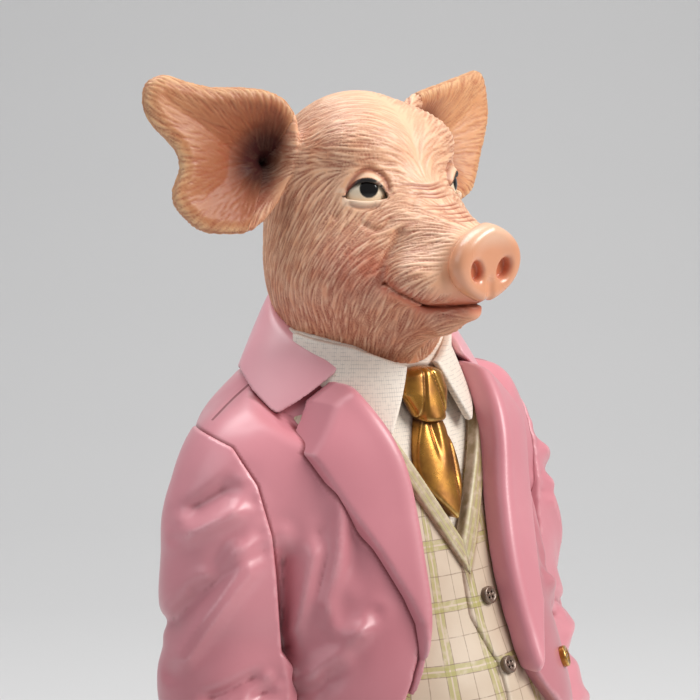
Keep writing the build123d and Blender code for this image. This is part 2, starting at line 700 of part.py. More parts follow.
face_balls = (
    (CHEEK_BALL_RADIUS, CHEEK_BALL_X, CHEEK_BALL_REACH, JOWL.z + CHEEK_BALL_RISE),
    (LIP_BALL_RADIUS, LIP_BALL_X, LIP_BALL_REACH, JOWL.z + LIP_BALL_RISE),
    (BROW_BALL_RADIUS, BROW_BALL_X, BROW_BALL_REACH, BROW.z - BROW_BALL_DROP),
    (EYE_RADIUS + LID_THICKNESS, EYE_X, EYE_REACH, EYE_Z),
)
for radius, x, reach, z in face_balls:
    for side in SIDES.values():
        head += Pos(side * x, -reach, z) * Rot(90, 0, side * EYE_TURN) * Sphere(radius)
pad_plane = snout_end.offset(GLUE_GAP)
snout_pad = extrude(pad_plane * Ellipse(PAD_HALF_WIDTH, PAD_HALF_HEIGHT), amount=SNOUT_PAD_THICKNESS)
pad_front = snout_pad.faces().sort_by(Axis.Y)[0]
snout_pad = fillet(pad_front.edges(), SNOUT_PAD_ROUNDING)
nostril_plane = pad_plane.offset(SNOUT_PAD_THICKNESS)
for side in SIDES.values():
    hole = nostril_plane * Pos(side * NOSTRIL_SPACING / 2, -NOSTRIL_DROP) * Circle(NOSTRIL_DIAMETER / 2)
    snout_pad -= extrude(hole, amount=-NOSTRIL_DEPTH)
snout_pad += extrude(pad_plane * Circle(SNOUT_PEG_DIAMETER / 2), amount=-SNOUT_PEG_LENGTH)
nodes["snout_pad"] = snout_pad
head -= extrude(
    snout_end * Circle(SNOUT_PEG_DIAMETER / 2 + PEG_CLEARANCE),
    amount=-SNOUT_PEG_LENGTH,
)
head -= jaw & extrude(pad_plane * Circle(BIG / 8), amount=BIG / 8)
head -= extrude(pad_plane.offset(-GLUE_GAP) * Ellipse(PAD_HALF_WIDTH, PAD_HALF_HEIGHT), amount=BIG / 8)
head -= neck_socket

for name, side in SIDES.items():
    eye_place = Pos(side * EYE_X, -EYE_REACH, EYE_Z) * Rot(90, 0, side * EYE_TURN)
    nodes[f"{name}_eye"] = eye_place * Sphere(EYE_RADIUS)
    almond = Pos(0, -LID_OPENING_DROP) * Ellipse(LID_OPENING_WIDTH / 2, LID_OPENING_HEIGHT / 2)
    head -= eye_place * extrude(almond, amount=2 * EYE_RADIUS)
    head -= eye_place * Sphere(EYE_RADIUS + PEG_CLEARANCE)

# Ears: cupped leaves, pegged into the head
def ear_leaf(shrink, forward):
    """The right ear's leaf form, drawn in and moved forward."""
    sections = []
    for section in EAR_SECTIONS:
        thick = max(section.half_thick - shrink / 2, section.half_thick * 0.5)
        tall = max(section.half_tall - shrink, section.half_tall * 0.4)
        origin = (-section.out, section.back - forward, BROW.z + section.rise)
        plane = Plane(origin=origin, x_dir=(0, 1, 0), z_dir=(-1, 0, 0))
        sections.append(plane * Ellipse(thick, tall))
    return loft(sections)


def ear_peg(clearance):
    """The peg that holds the right ear in the head."""
    base_y = EAR_BASE.back + EAR_BASE.half_thick * 0.35
    start = Pos(-EAR_BASE.out, base_y, BROW.z + EAR_BASE.rise) * Rot(0, 90, 0)
    length = EAR_PEG_LENGTH + clearance
    return start * Pos(0, 0, length / 2) * Cylinder(EAR_PEG_DIAMETER / 2 + clearance, length)


ear = ear_leaf(0, 0) - ear_leaf(EAR_WALL, EAR_BROAD.half_thick + EAR_WALL) - skull_form(GLUE_GAP)
ear = max(ear.solids(), key=lambda solid: solid.volume) + ear_peg(0)
nodes["right_ear"] = ear
nodes["left_ear"] = mirror(ear, about=Plane.YZ)
head -= ear_peg(PEG_CLEARANCE)
head -= mirror(ear_peg(PEG_CLEARANCE), about=Plane.YZ)
head -= band_solid(BAND_CLEARANCE + BAND_THICKNESS + GLUE_GAP) - band_solid(0)
head -= collar_solid(GLUE_GAP) - collar_solid(-COLLAR_THICKNESS - GLUE_GAP)
nodes["head_casting"] = head

# Neck band last: it stands between the head and the garments
band = band_solid(BAND_CLEARANCE + BAND_THICKNESS) - band_solid(BAND_CLEARANCE)
nodes["shirt_collar_band"] = band - nodes["tie_knot"]

os.makedirs("parts", exist_ok=True)
for name, shape in nodes.items():
    pieces = shape if isinstance(shape, list) else [shape]
    solids = [solid for piece in pieces for solid in piece.solids()]
    placed = [Pos(0, BODY_AXIS_Y, 0) * solid for solid in solids]
    target = placed[0] if len(placed) == 1 else Compound(children=placed)
    export_step(target, os.path.join("parts", f"{name}.step"))
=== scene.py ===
"""Painted look of the pig figurine: sculpted castings, carved hair and hand-painted finishes.

Sizes in the sculpting classes are millimetres from the body axis: +Z up, the pig faces -Y and
its right side is -X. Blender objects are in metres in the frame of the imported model.
"""

import logging
import math
from dataclasses import dataclass, field, replace
from enum import Enum
from typing import Callable, Sequence

import bpy
import numpy as np
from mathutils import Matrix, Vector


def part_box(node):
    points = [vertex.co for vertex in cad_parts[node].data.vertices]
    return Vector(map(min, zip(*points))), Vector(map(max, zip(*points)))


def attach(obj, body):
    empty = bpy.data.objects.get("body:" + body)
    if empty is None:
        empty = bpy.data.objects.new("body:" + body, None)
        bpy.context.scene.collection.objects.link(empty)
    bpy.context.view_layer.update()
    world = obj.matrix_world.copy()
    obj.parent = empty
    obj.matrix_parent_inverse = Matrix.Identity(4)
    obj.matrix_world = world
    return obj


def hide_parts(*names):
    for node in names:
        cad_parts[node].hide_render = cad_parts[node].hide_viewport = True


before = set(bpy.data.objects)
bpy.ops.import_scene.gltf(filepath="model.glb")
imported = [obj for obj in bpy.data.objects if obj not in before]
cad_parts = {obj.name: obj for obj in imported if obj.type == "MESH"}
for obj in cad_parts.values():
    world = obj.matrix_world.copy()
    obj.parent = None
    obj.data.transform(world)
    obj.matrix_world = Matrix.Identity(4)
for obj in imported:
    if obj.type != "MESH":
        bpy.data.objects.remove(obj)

import openvdb
from mathutils import Matrix, Vector
from mathutils.kdtree import KDTree

LOG = logging.getLogger("pig")
MM = 0.001
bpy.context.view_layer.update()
COARSE = 4
RNG_SEED = 20

Array = np.ndarray
Triple = tuple[float, float, float]
Colour = tuple[float, float, float]
Socket = bpy.types.NodeSocket


class Side(Enum):
    """The pig's own right and left, as the sign of X."""

    RIGHT = -1
    LEFT = 1

    @property
    def word(self) -> str:
        """The side's name as the nodes spell it."""
        return self.name.lower()


@dataclass
class Places:
    """Sample places in millimetres, one array for each axis."""

    x: Array
    y: Array
    z: Array

    def mirrored(self, side: Side) -> "Places":
        """The same places seen from the right side's frame."""
        return self if side is Side.RIGHT else Places(-self.x, self.y, self.z)

    def folded(self) -> "Places":
        """The same places carried over to the right side."""
        return Places(-np.abs(self.x), self.y, self.z)


Shape = Callable[[Places], Array]


def along_axes(p: Places, origin: Sequence[float], axes: Sequence[Array]) -> tuple[Array, ...]:
    """Places measured from an origin along given directions.

    Args:
        p: Sample places.
        origin: Where the measure starts.
        axes: Unit directions.

    Returns:
        One array for each direction.
    """
    rel = (p.x - origin[0], p.y - origin[1], p.z - origin[2])
    return tuple(sum(r * float(d) for r, d in zip(rel, way)) for way in axes)


def soft_join(a: Array, b: Array, round_mm: float) -> Array:
    """Joins two distance fields with a rounded valley between them.

    Args:
        a: First field.
        b: Second field.
        round_mm: Size of the rounding.

    Returns:
        The joined field.
    """
    h = np.clip(0.5 + 0.5 * (b - a) / round_mm, 0.0, 1.0)
    return b + (a - b) * h - round_mm * h * (1.0 - h)


def soft_meet(a: Array, b: Array, round_mm: float) -> Array:
    """Keeps what two fields share, with a rounded edge.

    Args:
        a: First field.
        b: Second field.
        round_mm: Size of the rounding.

    Returns:
        The shared field.
    """
    return -soft_join(-a, -b, round_mm)


def soft_cut(a: Array, b: Array, round_mm: float) -> Array:
    """Takes the second field away from the first, with a rounded edge."""
    return soft_meet(a, -b, round_mm)


def smooth_step(low: float, high: float, value: Array) -> Array:
    """A ramp from 0 to 1 between two values, eased at both ends."""
    t = np.clip((value - low) / (high - low), 0.0, 1.0)
    return t * t * (3.0 - 2.0 * t)


def ball(p: Places, centre: Triple, radii: Triple) -> Array:
    """Distance to an ellipsoid.

    Args:
        p: Sample places.
        centre: Middle of the ellipsoid.
        radii: Its three half sizes.

    Returns:
        Signed distance, close near the surface.
    """
    qx = (p.x - centre[0]) / radii[0]
    qy = (p.y - centre[1]) / radii[1]
    qz = (p.z - centre[2]) / radii[2]
    reach = np.sqrt(qx * qx + qy * qy + qz * qz)
    slope = np.sqrt((qx / radii[0]) ** 2 + (qy / radii[1]) ** 2 + (qz / radii[2]) ** 2)
    return reach * (reach - 1.0) / np.maximum(slope, 1e-4)


def limb(p: Places, start: Triple, end: Triple, r0: float, r1: float) -> Array:
    """Distance to a rounded rod that tapers from one radius to another.

    Args:
        p: Sample places.
        start: Middle of the first end.
        end: Middle of the second end.
        r0: Radius at the start.
        r1: Radius at the end.

    Returns:
        Signed distance.
    """
    dx, dy, dz = (e - s for s, e in zip(start, end))
    px, py, pz = p.x - start[0], p.y - start[1], p.z - start[2]
    t = np.clip((px * dx + py * dy + pz * dz) / (dx * dx + dy * dy + dz * dz), 0.0, 1.0)
    gap = np.sqrt((px - t * dx) ** 2 + (py - t * dy) ** 2 + (pz - t * dz) ** 2)
    return gap - (r0 + (r1 - r0) * t)


def chain(p: Places, points: Sequence[Triple], radii: Sequence[float], round_mm: float) -> Array:
    """Distance to rods joined end to end.

    Args:
        p: Sample places.
        points: The joints of the chain.
        radii: Radius at each joint.
        round_mm: Rounding between neighbouring rods.

    Returns:
        Signed distance.
    """
    result = limb(p, points[0], points[1], radii[0], radii[1])
    for i in range(1, len(points) - 1):
        rod = limb(p, points[i], points[i + 1], radii[i], radii[i + 1])
        result = soft_join(result, rod, round_mm)
    return result


@dataclass(frozen=True)
class Lump:
    """A rounded mass of clay, and how softly it joins what it is put on."""

    centre: Triple
    radii: Triple
    blend: float = 1.0

    def distance(self, p: Places) -> Array:
        """Signed distance to the lump."""
        return ball(p, self.centre, self.radii)

    def onto(self, p: Places, form: Array) -> Array:
        """A form with the lump put on it."""
        return soft_join(form, self.distance(p), self.blend)


@dataclass(frozen=True)
class Rod:
    """A rounded rod that tapers, and how softly it joins what it is put on."""

    start: Triple
    end: Triple
    start_radius: float
    end_radius: float
    blend: float

    def onto(self, p: Places, form: Array) -> Array:
        """A form with the rod put on it."""
        rod = limb(p, self.start, self.end, self.start_radius, self.end_radius)
        return soft_join(form, rod, self.blend)


def smooth_line(points: Sequence[Sequence[float]], steps: int, closed: bool = False) -> Array:
    """Points along a smooth curve through a few given ones.

    Args:
        points: Points the curve goes through.
        steps: Number of samples between two given points.
        closed: Whether the curve returns to its start.

    Returns:
        The sampled points, one in each row.
    """
    given = np.asarray(points, dtype=float)
    if closed:
        given = np.vstack([given[-1], given, given[0], given[1]])
    else:
        given = np.vstack([2 * given[0] - given[1], given, 2 * given[-1] - given[-2]])
    rows = []
    for a, b, c, d in zip(given, given[1:], given[2:], given[3:]):
        for t in np.arange(steps) / steps:
            cubic = 2 * b + (c - a) * t + (2 * a - 5 * b + 4 * c - d) * t**2
            rows.append(0.5 * (cubic + (3 * b - a - 3 * c + d) * t**3))
    if not closed:
        rows.append(given[-2])
    return np.array(rows)


def outline(u: Array, v: Array, corners: Array) -> Array:
    """Signed distance in a plane to a closed outline.

    Args:
        u: First coordinate of the sample places.
        v: Second coordinate of the sample places.
        corners: The outline's points, one in each row.

    Returns:
        Distance, negative inside.
    """
    nearest = np.full(u.shape, 1e9, dtype=np.float32)
    sign = np.ones(u.shape, dtype=np.float32)
    for (au, av), (bu, bv) in zip(corners, np.roll(corners, -1, axis=0)):
        eu, ev = bu - au, bv - av
        wu, wv = u - au, v - av
        t = np.clip((wu * eu + wv * ev) / (eu * eu + ev * ev), 0.0, 1.0)
        nearest = np.minimum(nearest, (wu - eu * t) ** 2 + (wv - ev * t) ** 2)
        crosses = (av > v) != (bv > v)
        if abs(ev) > 1e-9:
            crosses &= u < au + eu * (v - av) / ev
        sign = np.where(crosses, -sign, sign)
    return sign * np.sqrt(nearest)


VIEW_TURN = math.radians(42.0)
VIEW_TILT = math.radians(9.5)
VIEW_LEVEL = 285.6


def facing(p: Places) -> tuple[Array, Array, Array]:
    """Places on a plane that faces the pig's right front: across, up and away behind it.

    Args:
        p: Sample places.

    Returns:
        The three measures.
    """
    across = p.x * math.cos(VIEW_TURN) - p.y * math.sin(VIEW_TURN)
    away = p.x * math.sin(VIEW_TURN) + p.y * math.cos(VIEW_TURN)
    up = (p.z - VIEW_LEVEL) * math.cos(VIEW_TILT) + away * math.sin(VIEW_TILT)
    return across, up, away


def line_gap(u: Array, v: Array, points: Sequence[Sequence[float]]) -> Array:
    """Distance in a plane to an open line.

    Args:
        u: First coordinate of the sample places.
        v: Second coordinate of the sample places.
        points: Points that the line goes through.

    Returns:
        The distance.
    """
    nearest = np.full(u.shape, 1e9, dtype=np.float32)
    curve = smooth_line(points, 3) if len(points) > 2 else np.asarray(points, dtype=float)
    for (au, av), (bu, bv) in zip(curve, curve[1:]):
        eu, ev = bu - au, bv - av
        t = np.clip(((u - au) * eu + (v - av) * ev) / (eu * eu + ev * ev), 0.0, 1.0)
        nearest = np.minimum(nearest, (u - au - eu * t) ** 2 + (v - av - ev * t) ** 2)
    return np.sqrt(nearest)


class Profile:
    """A size that changes smoothly with height."""

    def __init__(self, heights: Sequence[float], values: Sequence[float]) -> None:
        """Fits a smooth curve through the given values.

        Args:
            heights: Heights in rising order.
            values: The size at each height.
        """
        z = np.asarray(heights, dtype=float)
        v = np.asarray(values, dtype=float)
        slope = np.gradient(v, z)
        self.table = np.arange(z[0], z[-1] + 0.25, 0.25)
        i = np.clip(np.searchsorted(z, self.table) - 1, 0, len(z) - 2)
        step = z[i + 1] - z[i]
        t = np.clip((self.table - z[i]) / step, 0.0, 1.0)
        self.values = (
            (1 + 2 * t) * (1 - t) ** 2 * v[i]
            + t * (1 - t) ** 2 * step * slope[i]
            + t * t * (3 - 2 * t) * v[i + 1]
            + t * t * (t - 1) * step * slope[i + 1]
        )
        self.slopes = np.gradient(self.values, self.table)

    def at(self, z: Array) -> Array:
        """The size at each height."""
        return np.interp(z, self.table, self.values).astype(np.float32)

    def slope(self, z: Array) -> Array:
        """How fast the size changes at each height."""
        return np.interp(z, self.table, self.slopes, 0.0, 0.0).astype(np.float32)


@dataclass
class Casting:
    """A sculpted surface: points in millimetres and faces."""

    points: Array
    quads: Array

    def normals(self) -> Array:
        """Outward direction at each point.

        Returns:
            One direction for each point.
        """
        p, q = self.points, self.quads
        face = np.cross(p[q[:, 2]] - p[q[:, 0]], p[q[:, 3]] - p[q[:, 1]])
        total = np.zeros_like(p)
        for corner in range(4):
            np.add.at(total, q[:, corner], face)
        return total / np.maximum(np.linalg.norm(total, axis=1, keepdims=True), 1e-9)

    def middles(self, points: Array) -> Array:
        """Middle of each point's neighbours.

        Args:
            points: One place in each row.

        Returns:
            One place for each point.
        """
        q = self.quads
        pairs = np.vstack([q[:, [0, 1]], q[:, [1, 2]], q[:, [2, 3]], q[:, [3, 0]]])
        count = np.bincount(pairs.ravel(), minlength=len(points)).astype(float)
        middle = np.zeros_like(points)
        for axis in range(3):
            middle[:, axis] += np.bincount(pairs[:, 0], points[pairs[:, 1], axis], len(points))
            middle[:, axis] += np.bincount(pairs[:, 1], points[pairs[:, 0], axis], len(points))
        return middle / np.maximum(count, 1.0)[:, None]

    def relaxed(self, rounds: int, share: float = 0.5) -> "Casting":
        """The same surface with small steps evened out.

        Args:
            rounds: How often the points move.
            share: How far each point moves toward its neighbours' middle.

        Returns:
            A new casting.
        """
        points = self.points.copy()
        for turn in range(2 * rounds):
            pull = share if turn % 2 == 0 else -share * 1.04
            points += pull * (self.middles(points) - points)
        return Casting(points, self.quads)

    def relief(self, rounds: int = 3) -> Array:
        """How deep each point lies in a hollow, in millimetres; edges are negative.

        Args:
            rounds: How far the look reaches, in rings of neighbours.

        Returns:
            One value for each point.
        """
        smooth = self.points
        for _ in range(rounds):
            smooth = self.middles(smooth)
        return np.einsum("ij,ij->i", smooth - self.points, self.normals())

    def mirrored(self) -> "Casting":
        """The same surface on the other side of the middle plane."""
        return Casting(self.points * np.array([-1.0, 1.0, 1.0]), self.quads[:, ::-1])


def sculpt(shape: Shape, low: Triple, high: Triple, step: float, relax: int = 2) -> Casting:
    """Turns a distance field into a closed surface.

    Args:
        shape: The field.
        low: Lowest corner of the space that holds it.
        high: Highest corner.
        step: Spacing of the samples.
        relax: Rounds of evening out.

    Returns:
        The surface.
    """
    block = COARSE * step
    size = [int(math.ceil((b - a) / block)) for a, b in zip(low, high)]
    middles = [np.arange(n) * block + a + block / 2 - step / 2 for n, a in zip(size, low)]
    gx, gy, gz = np.meshgrid(*middles, indexing="ij")
    rough = shape(Places(*(g.astype(np.float32).ravel() for g in (gx, gy, gz)))).reshape(size)
    near = np.abs(rough) < block * 2.6
    dense = rough.repeat(COARSE, 0).repeat(COARSE, 1).repeat(COARSE, 2).astype(np.float32)
    bx, by, bz = np.nonzero(near)
    cell = np.arange(COARSE)
    ox, oy, oz = (o.ravel() for o in np.meshgrid(cell, cell, cell, indexing="ij"))
    ix = (bx[:, None] * COARSE + ox).ravel()
    iy = (by[:, None] * COARSE + oy).ravel()
    iz = (bz[:, None] * COARSE + oz).ravel()
    for part in np.array_split(np.arange(len(ix)), max(1, len(ix) // 400000)):
        jx, jy, jz = ix[part], iy[part], iz[part]
        spots = [(j * step + a).astype(np.float32) for j, a in zip((jx, jy, jz), low)]
        dense[jx, jy, jz] = shape(Places(*spots))
    grid = openvdb.FloatGrid(background=float(block))
    grid.copyFromArray(dense)
    points, quads = grid.convertToQuads(isovalue=0.0)
    points = points.astype(float) * step + np.asarray(low)
    casting = Casting(points, quads.astype(np.int64))
    a, b, c, d = (points[casting.quads[:, i]] for i in range(4))
    volume = np.einsum("ij,ij->i", a, np.cross(b, c)).sum() + np.einsum("ij,ij->i", a, np.cross(c, d)).sum()
    if volume < 0:
        casting.quads = casting.quads[:, ::-1]
    return casting.relaxed(relax) if relax else casting


AXIS_Y = 1000.0 * sum(corner[1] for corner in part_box("neck_dowel")) / 2


def cad_box(node: str) -> tuple[Array, Array]:
    """Low and high corners of one CAD piece, in millimetres from the body axis."""
    shift = np.array([0.0, AXIS_Y, 0.0])
    return tuple(np.array(corner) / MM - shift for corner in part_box(node))


def place_casting(name: str, casting: Casting, masks: dict[str, Array] | None = None) -> bpy.types.Object:
    """Makes a Blender object from a casting, with its paint masks as point attributes.

    Args:
        name: Name of the object.
        casting: The surface, in millimetres from the body axis.
        masks: Paint masks by name, one value for each point.

    Returns:
        The object, in the frame's metres.
    """
    points = (casting.points + np.array([0.0, AXIS_Y, 0.0])) * MM
    mesh = bpy.data.meshes.new(name)
    mesh.from_pydata(points.tolist(), [], casting.quads.tolist())
    mesh.polygons.foreach_set("use_smooth", np.ones(len(mesh.polygons), dtype=bool))
    for mask, values in (masks or {}).items():
        layer = mesh.attributes.new(mask, "FLOAT", "POINT")
        layer.data.foreach_set("value", np.asarray(values, dtype=np.float32))
    thing = bpy.data.objects.new(name, mesh)
    bpy.context.scene.collection.objects.link(thing)
    return thing


def dress(thing: bpy.types.Object, material: bpy.types.Material, slot: str, *nodes: str) -> None:
    """Paints a piece, rides it on the figure and lets it stand for CAD nodes.

    Args:
        thing: The piece.
        material: Its finish.
        slot: The record's material slot; not used.
        nodes: CAD nodes that the piece stands for.
    """
    thing.data.materials.clear()
    thing.data.materials.append(material)
    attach(thing, "root")
    if nodes:
        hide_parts(*nodes)
    LOG.info("%s: %d faces", thing.name, len(thing.data.polygons))


class Carver:
    """Cuts fine strokes into a casting, as a modelling tool does in clay."""

    def __init__(self, casting: Casting) -> None:
        """Indexes the casting's points.

        Args:
            casting: The surface to cut.
        """
        self.casting = casting
        self.normals = casting.normals()
        self.tree = KDTree(len(casting.points))
        for i, point in enumerate(casting.points):
            self.tree.insert(point, i)
        self.tree.balance()
        self.mask = np.zeros(len(casting.points))
        self.ridge = np.zeros(len(casting.points))

    def nearest(self, point: Array) -> int:
        """Index of the casting's point closest to a place."""
        return self.tree.find(point)[1]

    def trace(
        self, start: Array, flow: Callable[[Array], Array], length: float, step: float
    ) -> list[Array]:
        """Follows a flow over the surface.

        Args:
            start: First place.
            flow: Direction of the flow at a place.
            length: Length of the stroke.
            step: Distance between its points.

        Returns:
            Places along the stroke, on the surface.
        """
        spot = np.asarray(start, dtype=float)
        path = []
        for _ in range(int(length / step)):
            i = self.nearest(spot)
            normal = self.normals[i]
            spot = spot - normal * np.dot(spot - self.casting.points[i], normal)
            path.append(spot)
            way = flow(spot)
            way = way - normal * np.dot(way, normal)
            size = np.linalg.norm(way)
            if size < 1e-6:
                break
            spot = spot + way / size * step
        return path

    def stroke(self, path: Sequence[Array], width: float, depth: float) -> None:
        """Cuts one stroke, deepest in its middle.

        Args:
            path: Places along the stroke.
            width: Half width of the cut.
            depth: How strong the cut is, up to 1.
        """
        count = len(path)
        for k, spot in enumerate(path):
            taper = math.sin(math.pi * (k + 1) / (count + 1)) ** 0.6
            for _, i, gap in self.tree.find_range(spot, width * 2.0):
                cut = depth * taper * math.exp(-((gap / width) ** 2) * 1.6)
                self.mask[i] = max(self.mask[i], cut)
                rim = depth * taper * math.exp(-(((gap - width * 1.5) / width) ** 2) * 2.5)
                self.ridge[i] = max(self.ridge[i], rim)

    def apply(self, depth: float, rise: float) -> None:
        """Moves the surface: strokes go in and their rims come out.

        Args:
            depth: Deepest cut.
            rise: Highest rim.
        """
        rims = self.ridge * (1.0 - self.mask)
        shift = rims * rise - self.mask * depth
        self.casting.points = self.casting.points + self.normals * shift[:, None]


@dataclass(frozen=True)
class Lamp:
    """A soft square lamp; it stands so far toward the camera, to its right and up."""

    name: str
    place: Triple
    size: float
    power: float
    tint: Colour = (1.0, 1.0, 1.0)


@dataclass(frozen=True)
class Studio:
    """Camera, lights and the pale ground."""

    yaw_deg: float = 42.0
    elevation_deg: float = 9.5
    distance: float = 0.6
    metres_per_pixel: float = 0.00027
    axis_pixel_offset: float = 8.0
    target_height: float = 0.2856
    image_pixels: int = 700
    sensor: float = 36.0
    ground: Colour = (0.70, 0.70, 0.70)
    floor_half: float = 2.2
    wall_back: float = 1.5
    wall_height: float = 2.4
    lamps: Sequence[Lamp] = (
        Lamp("key", (0.3, 0.85, 0.65), 0.55, 13.0, (1.0, 0.98, 0.95)),
        Lamp("fill", (0.6, -0.9, 0.6), 0.9, 3.4, (0.97, 0.98, 1.0)),
        Lamp("top", (-0.2, -0.25, 1.0), 0.7, 8.5),
    )
    sky: Colour = (0.95, 0.96, 1.0)
    sky_strength: float = 0.27

    def frame_axes(self) -> tuple[Vector, Vector, Vector]:
        """Directions toward the camera, to its right and up.

        Returns:
            The three directions.
        """
        a = math.radians(-self.yaw_deg)
        e = math.radians(self.elevation_deg)
        back = Vector((math.sin(a) * math.cos(e), -math.cos(a) * math.cos(e), math.sin(e)))
        right = Vector((math.cos(a), math.sin(a), 0.0))
        return back, right, back.cross(right)

    def add_camera(self) -> None:
        """Sets the camera at the photograph's viewing angle."""
        back, right, up = self.frame_axes()
        aim = Vector((0.0, AXIS_Y * MM, self.target_height))
        aim -= right * self.axis_pixel_offset * self.metres_per_pixel
        lens = bpy.data.cameras.new("camera")
        lens.sensor_width = self.sensor
        lens.lens = self.sensor * self.distance / self.metres_per_pixel / self.image_pixels
        lens.clip_start = 0.01
        camera = bpy.data.objects.new("camera", lens)
        camera.matrix_world = Matrix.Translation(aim + back * self.distance) @ Matrix(
            (right, up, back)
        ).transposed().to_4x4()
        bpy.context.scene.collection.objects.link(camera)
        bpy.context.scene.camera = camera

    def add_lamp(self, lamp: Lamp) -> None:
        """Adds a lamp aimed at the figure.

        Args:
            lamp: Its place in metres, its size and its light.
        """
        back, right, _ = self.frame_axes()
        level = Vector((back.x, back.y, 0.0)).normalized()
        aim = Vector((0.0, 0.0, self.target_height))
        ahead, across, height = lamp.place
        spot = aim + level * ahead + right * across + Vector((0.0, 0.0, height))
        light = bpy.data.lights.new(lamp.name, "AREA")
        light.shape = "SQUARE"
        light.size = lamp.size
        light.energy = lamp.power
        light.color = lamp.tint
        thing = bpy.data.objects.new(lamp.name, light)
        turn = (spot - aim).to_track_quat("Z", "Y").to_matrix()
        thing.matrix_world = Matrix.Translation(spot) @ turn.to_4x4()
        bpy.context.scene.collection.objects.link(thing)

    def add_ground(self) -> None:
        """Adds a pale floor that sweeps up behind the figure."""
        back, right, _ = self.frame_axes()
        level = Vector((back.x, back.y, 0.0)).normalized()
        profile = [(self.floor_half, 0.0), (-self.wall_back * 0.5, 0.0)]
        for k in range(1, 9):
            turn = math.pi / 2 * k / 8
            reach = -self.wall_back * 0.5 - self.wall_back * 0.5 * math.sin(turn)
            profile.append((reach, self.wall_back * 0.5 * (1 - math.cos(turn))))
        profile.append((-self.wall_back, self.wall_height))
        points, faces = [], []
        for reach, height in profile:
            for side in (-self.floor_half, self.floor_half):
                spot = level * reach + right * side
                points.append((spot.x, spot.y, height))
        for i in range(len(profile) - 1):
            faces.append((2 * i, 2 * i + 1, 2 * i + 3, 2 * i + 2))
        mesh = bpy.data.meshes.new("ground")
        mesh.from_pydata(points, [], faces)
        mesh.polygons.foreach_set("use_smooth", np.ones(len(faces), dtype=bool))
        ground = bpy.data.objects.new("ground", mesh)
        bpy.context.scene.collection.objects.link(ground)
        paint = bpy.data.materials.new("ground")
        paint.use_nodes = True
        shader = paint.node_tree.nodes["Principled BSDF"]
        shader.inputs["Base Color"].default_value = (*self.ground, 1.0)
        shader.inputs["Roughness"].default_value = 0.9
        mesh.materials.append(paint)

    def build(self) -> None:
        """Sets the whole studio."""
        scene = bpy.context.scene
        scene.view_settings.view_transform = "Standard"
        world = bpy.data.worlds.new("studio")
        world.use_nodes = True
        light = world.node_tree.nodes["Background"]
        light.inputs["Color"].default_value = (*self.sky, 1.0)
        light.inputs["Strength"].default_value = self.sky_strength
        scene.world = world
        self.add_camera()
        for lamp in self.lamps:
            self.add_lamp(lamp)
        self.add_ground()


class NodeSheet:
    """A shader node tree with short ways to add and join nodes."""

    def __init__(self, tree: bpy.types.NodeTree) -> None:
        """Takes the tree to work on.

        Args:
            tree: A material's or a group's node tree.
        """
        self.tree = tree

    def add(self, kind: str, **settings: object) -> bpy.types.Node:
        """Adds a node and sets its properties.

        Args:
            kind: Type of the node.
            settings: Properties to set.

        Returns:
            The node.
        """
        node = self.tree.nodes.new(kind)
        for key, value in settings.items():
            setattr(node, key, value)
        return node

    def feed(self, socket: Socket, value: object) -> None:
        """Joins a socket to another, or gives it a plain value.

        Args:
            socket: The input.
            value: A socket or a plain value.
        """
        if isinstance(value, Socket):
            self.tree.links.new(value, socket)
        elif isinstance(value, tuple) and len(value) == 3 and socket.type == "RGBA":
            socket.default_value = (*value, 1.0)
        else:
            socket.default_value = value

    def feed_all(self, node: bpy.types.Node, values: dict[str, object]) -> None:
        """Feeds several inputs of a node by name."""
        for label, value in values.items():
            self.feed(node.inputs[label], value)

    def mask(self, name: str) -> Socket:
        """A paint mask that the piece carries on its points."""
        return self.add("ShaderNodeAttribute", attribute_name=name).outputs["Fac"]

    def noise(self, scale: float, detail: float = 3.0, rough: float = 0.55) -> Socket:
        """Cloudy noise in the object's own space, from 0 to 1.

        Args:
            scale: How fine the noise is.
            detail: How many finer layers it has.
            rough: How strong the finer layers are.

        Returns:
            The noise.
        """
        place = self.add("ShaderNodeTexCoord").outputs["Object"]
        node = self.add("ShaderNodeTexNoise")
        self.feed_all(node, {"Vector": place, "Scale": scale, "Detail": detail, "Roughness": rough})
        return node.outputs["Fac"]

    def math(self, operation: str, a: object, b: object = 0.0, clamp: bool = False) -> Socket:
        """A sum on one or two values.

        Args:
            operation: Kind of sum.
            a: First value.
            b: Second value.
            clamp: Whether the result stays between 0 and 1.

        Returns:
            The result.
        """
        node = self.add("ShaderNodeMath", operation=operation, use_clamp=clamp)
        self.feed(node.inputs[0], a)
        self.feed(node.inputs[1], b)
        return node.outputs[0]

    def ramp(self, value: object, low: float, high: float) -> Socket:
        """A smooth step of a value from 0 to 1."""
        node = self.add("ShaderNodeMapRange", interpolation_type="SMOOTHSTEP")
        self.feed_all(node, {"Value": value, "From Min": low, "From Max": high})
        return node.outputs["Result"]

    def mix(self, share: object, a: object, b: object) -> Socket:
        """A colour between two colours.

        Args:
            share: Share of the second colour.
            a: First value.
            b: Second value.

        Returns:
            The mixed colour.
        """
        node = self.add("ShaderNodeMix", data_type="RGBA")
        self.feed(node.inputs["Factor"], share)
        self.feed(node.inputs["A"], a)
        self.feed(node.inputs["B"], b)
        return node.outputs["Result"]


def srgb(red: int, green: int, blue: int) -> Colour:
    """A linear colour from display values of 0 to 255.

    Args:
        red: Red, 0 to 255.
        green: Green, 0 to 255.
        blue: Blue, 0 to 255.

    Returns:
        The colour.
    """
    def linear(value: int) -> float:
        """One channel as linear light."""
        share = value / 255
        return share / 12.92 if share <= 0.04045 else ((share + 0.055) / 1.055) ** 2.4

    return linear(red), linear(green), linear(blue)


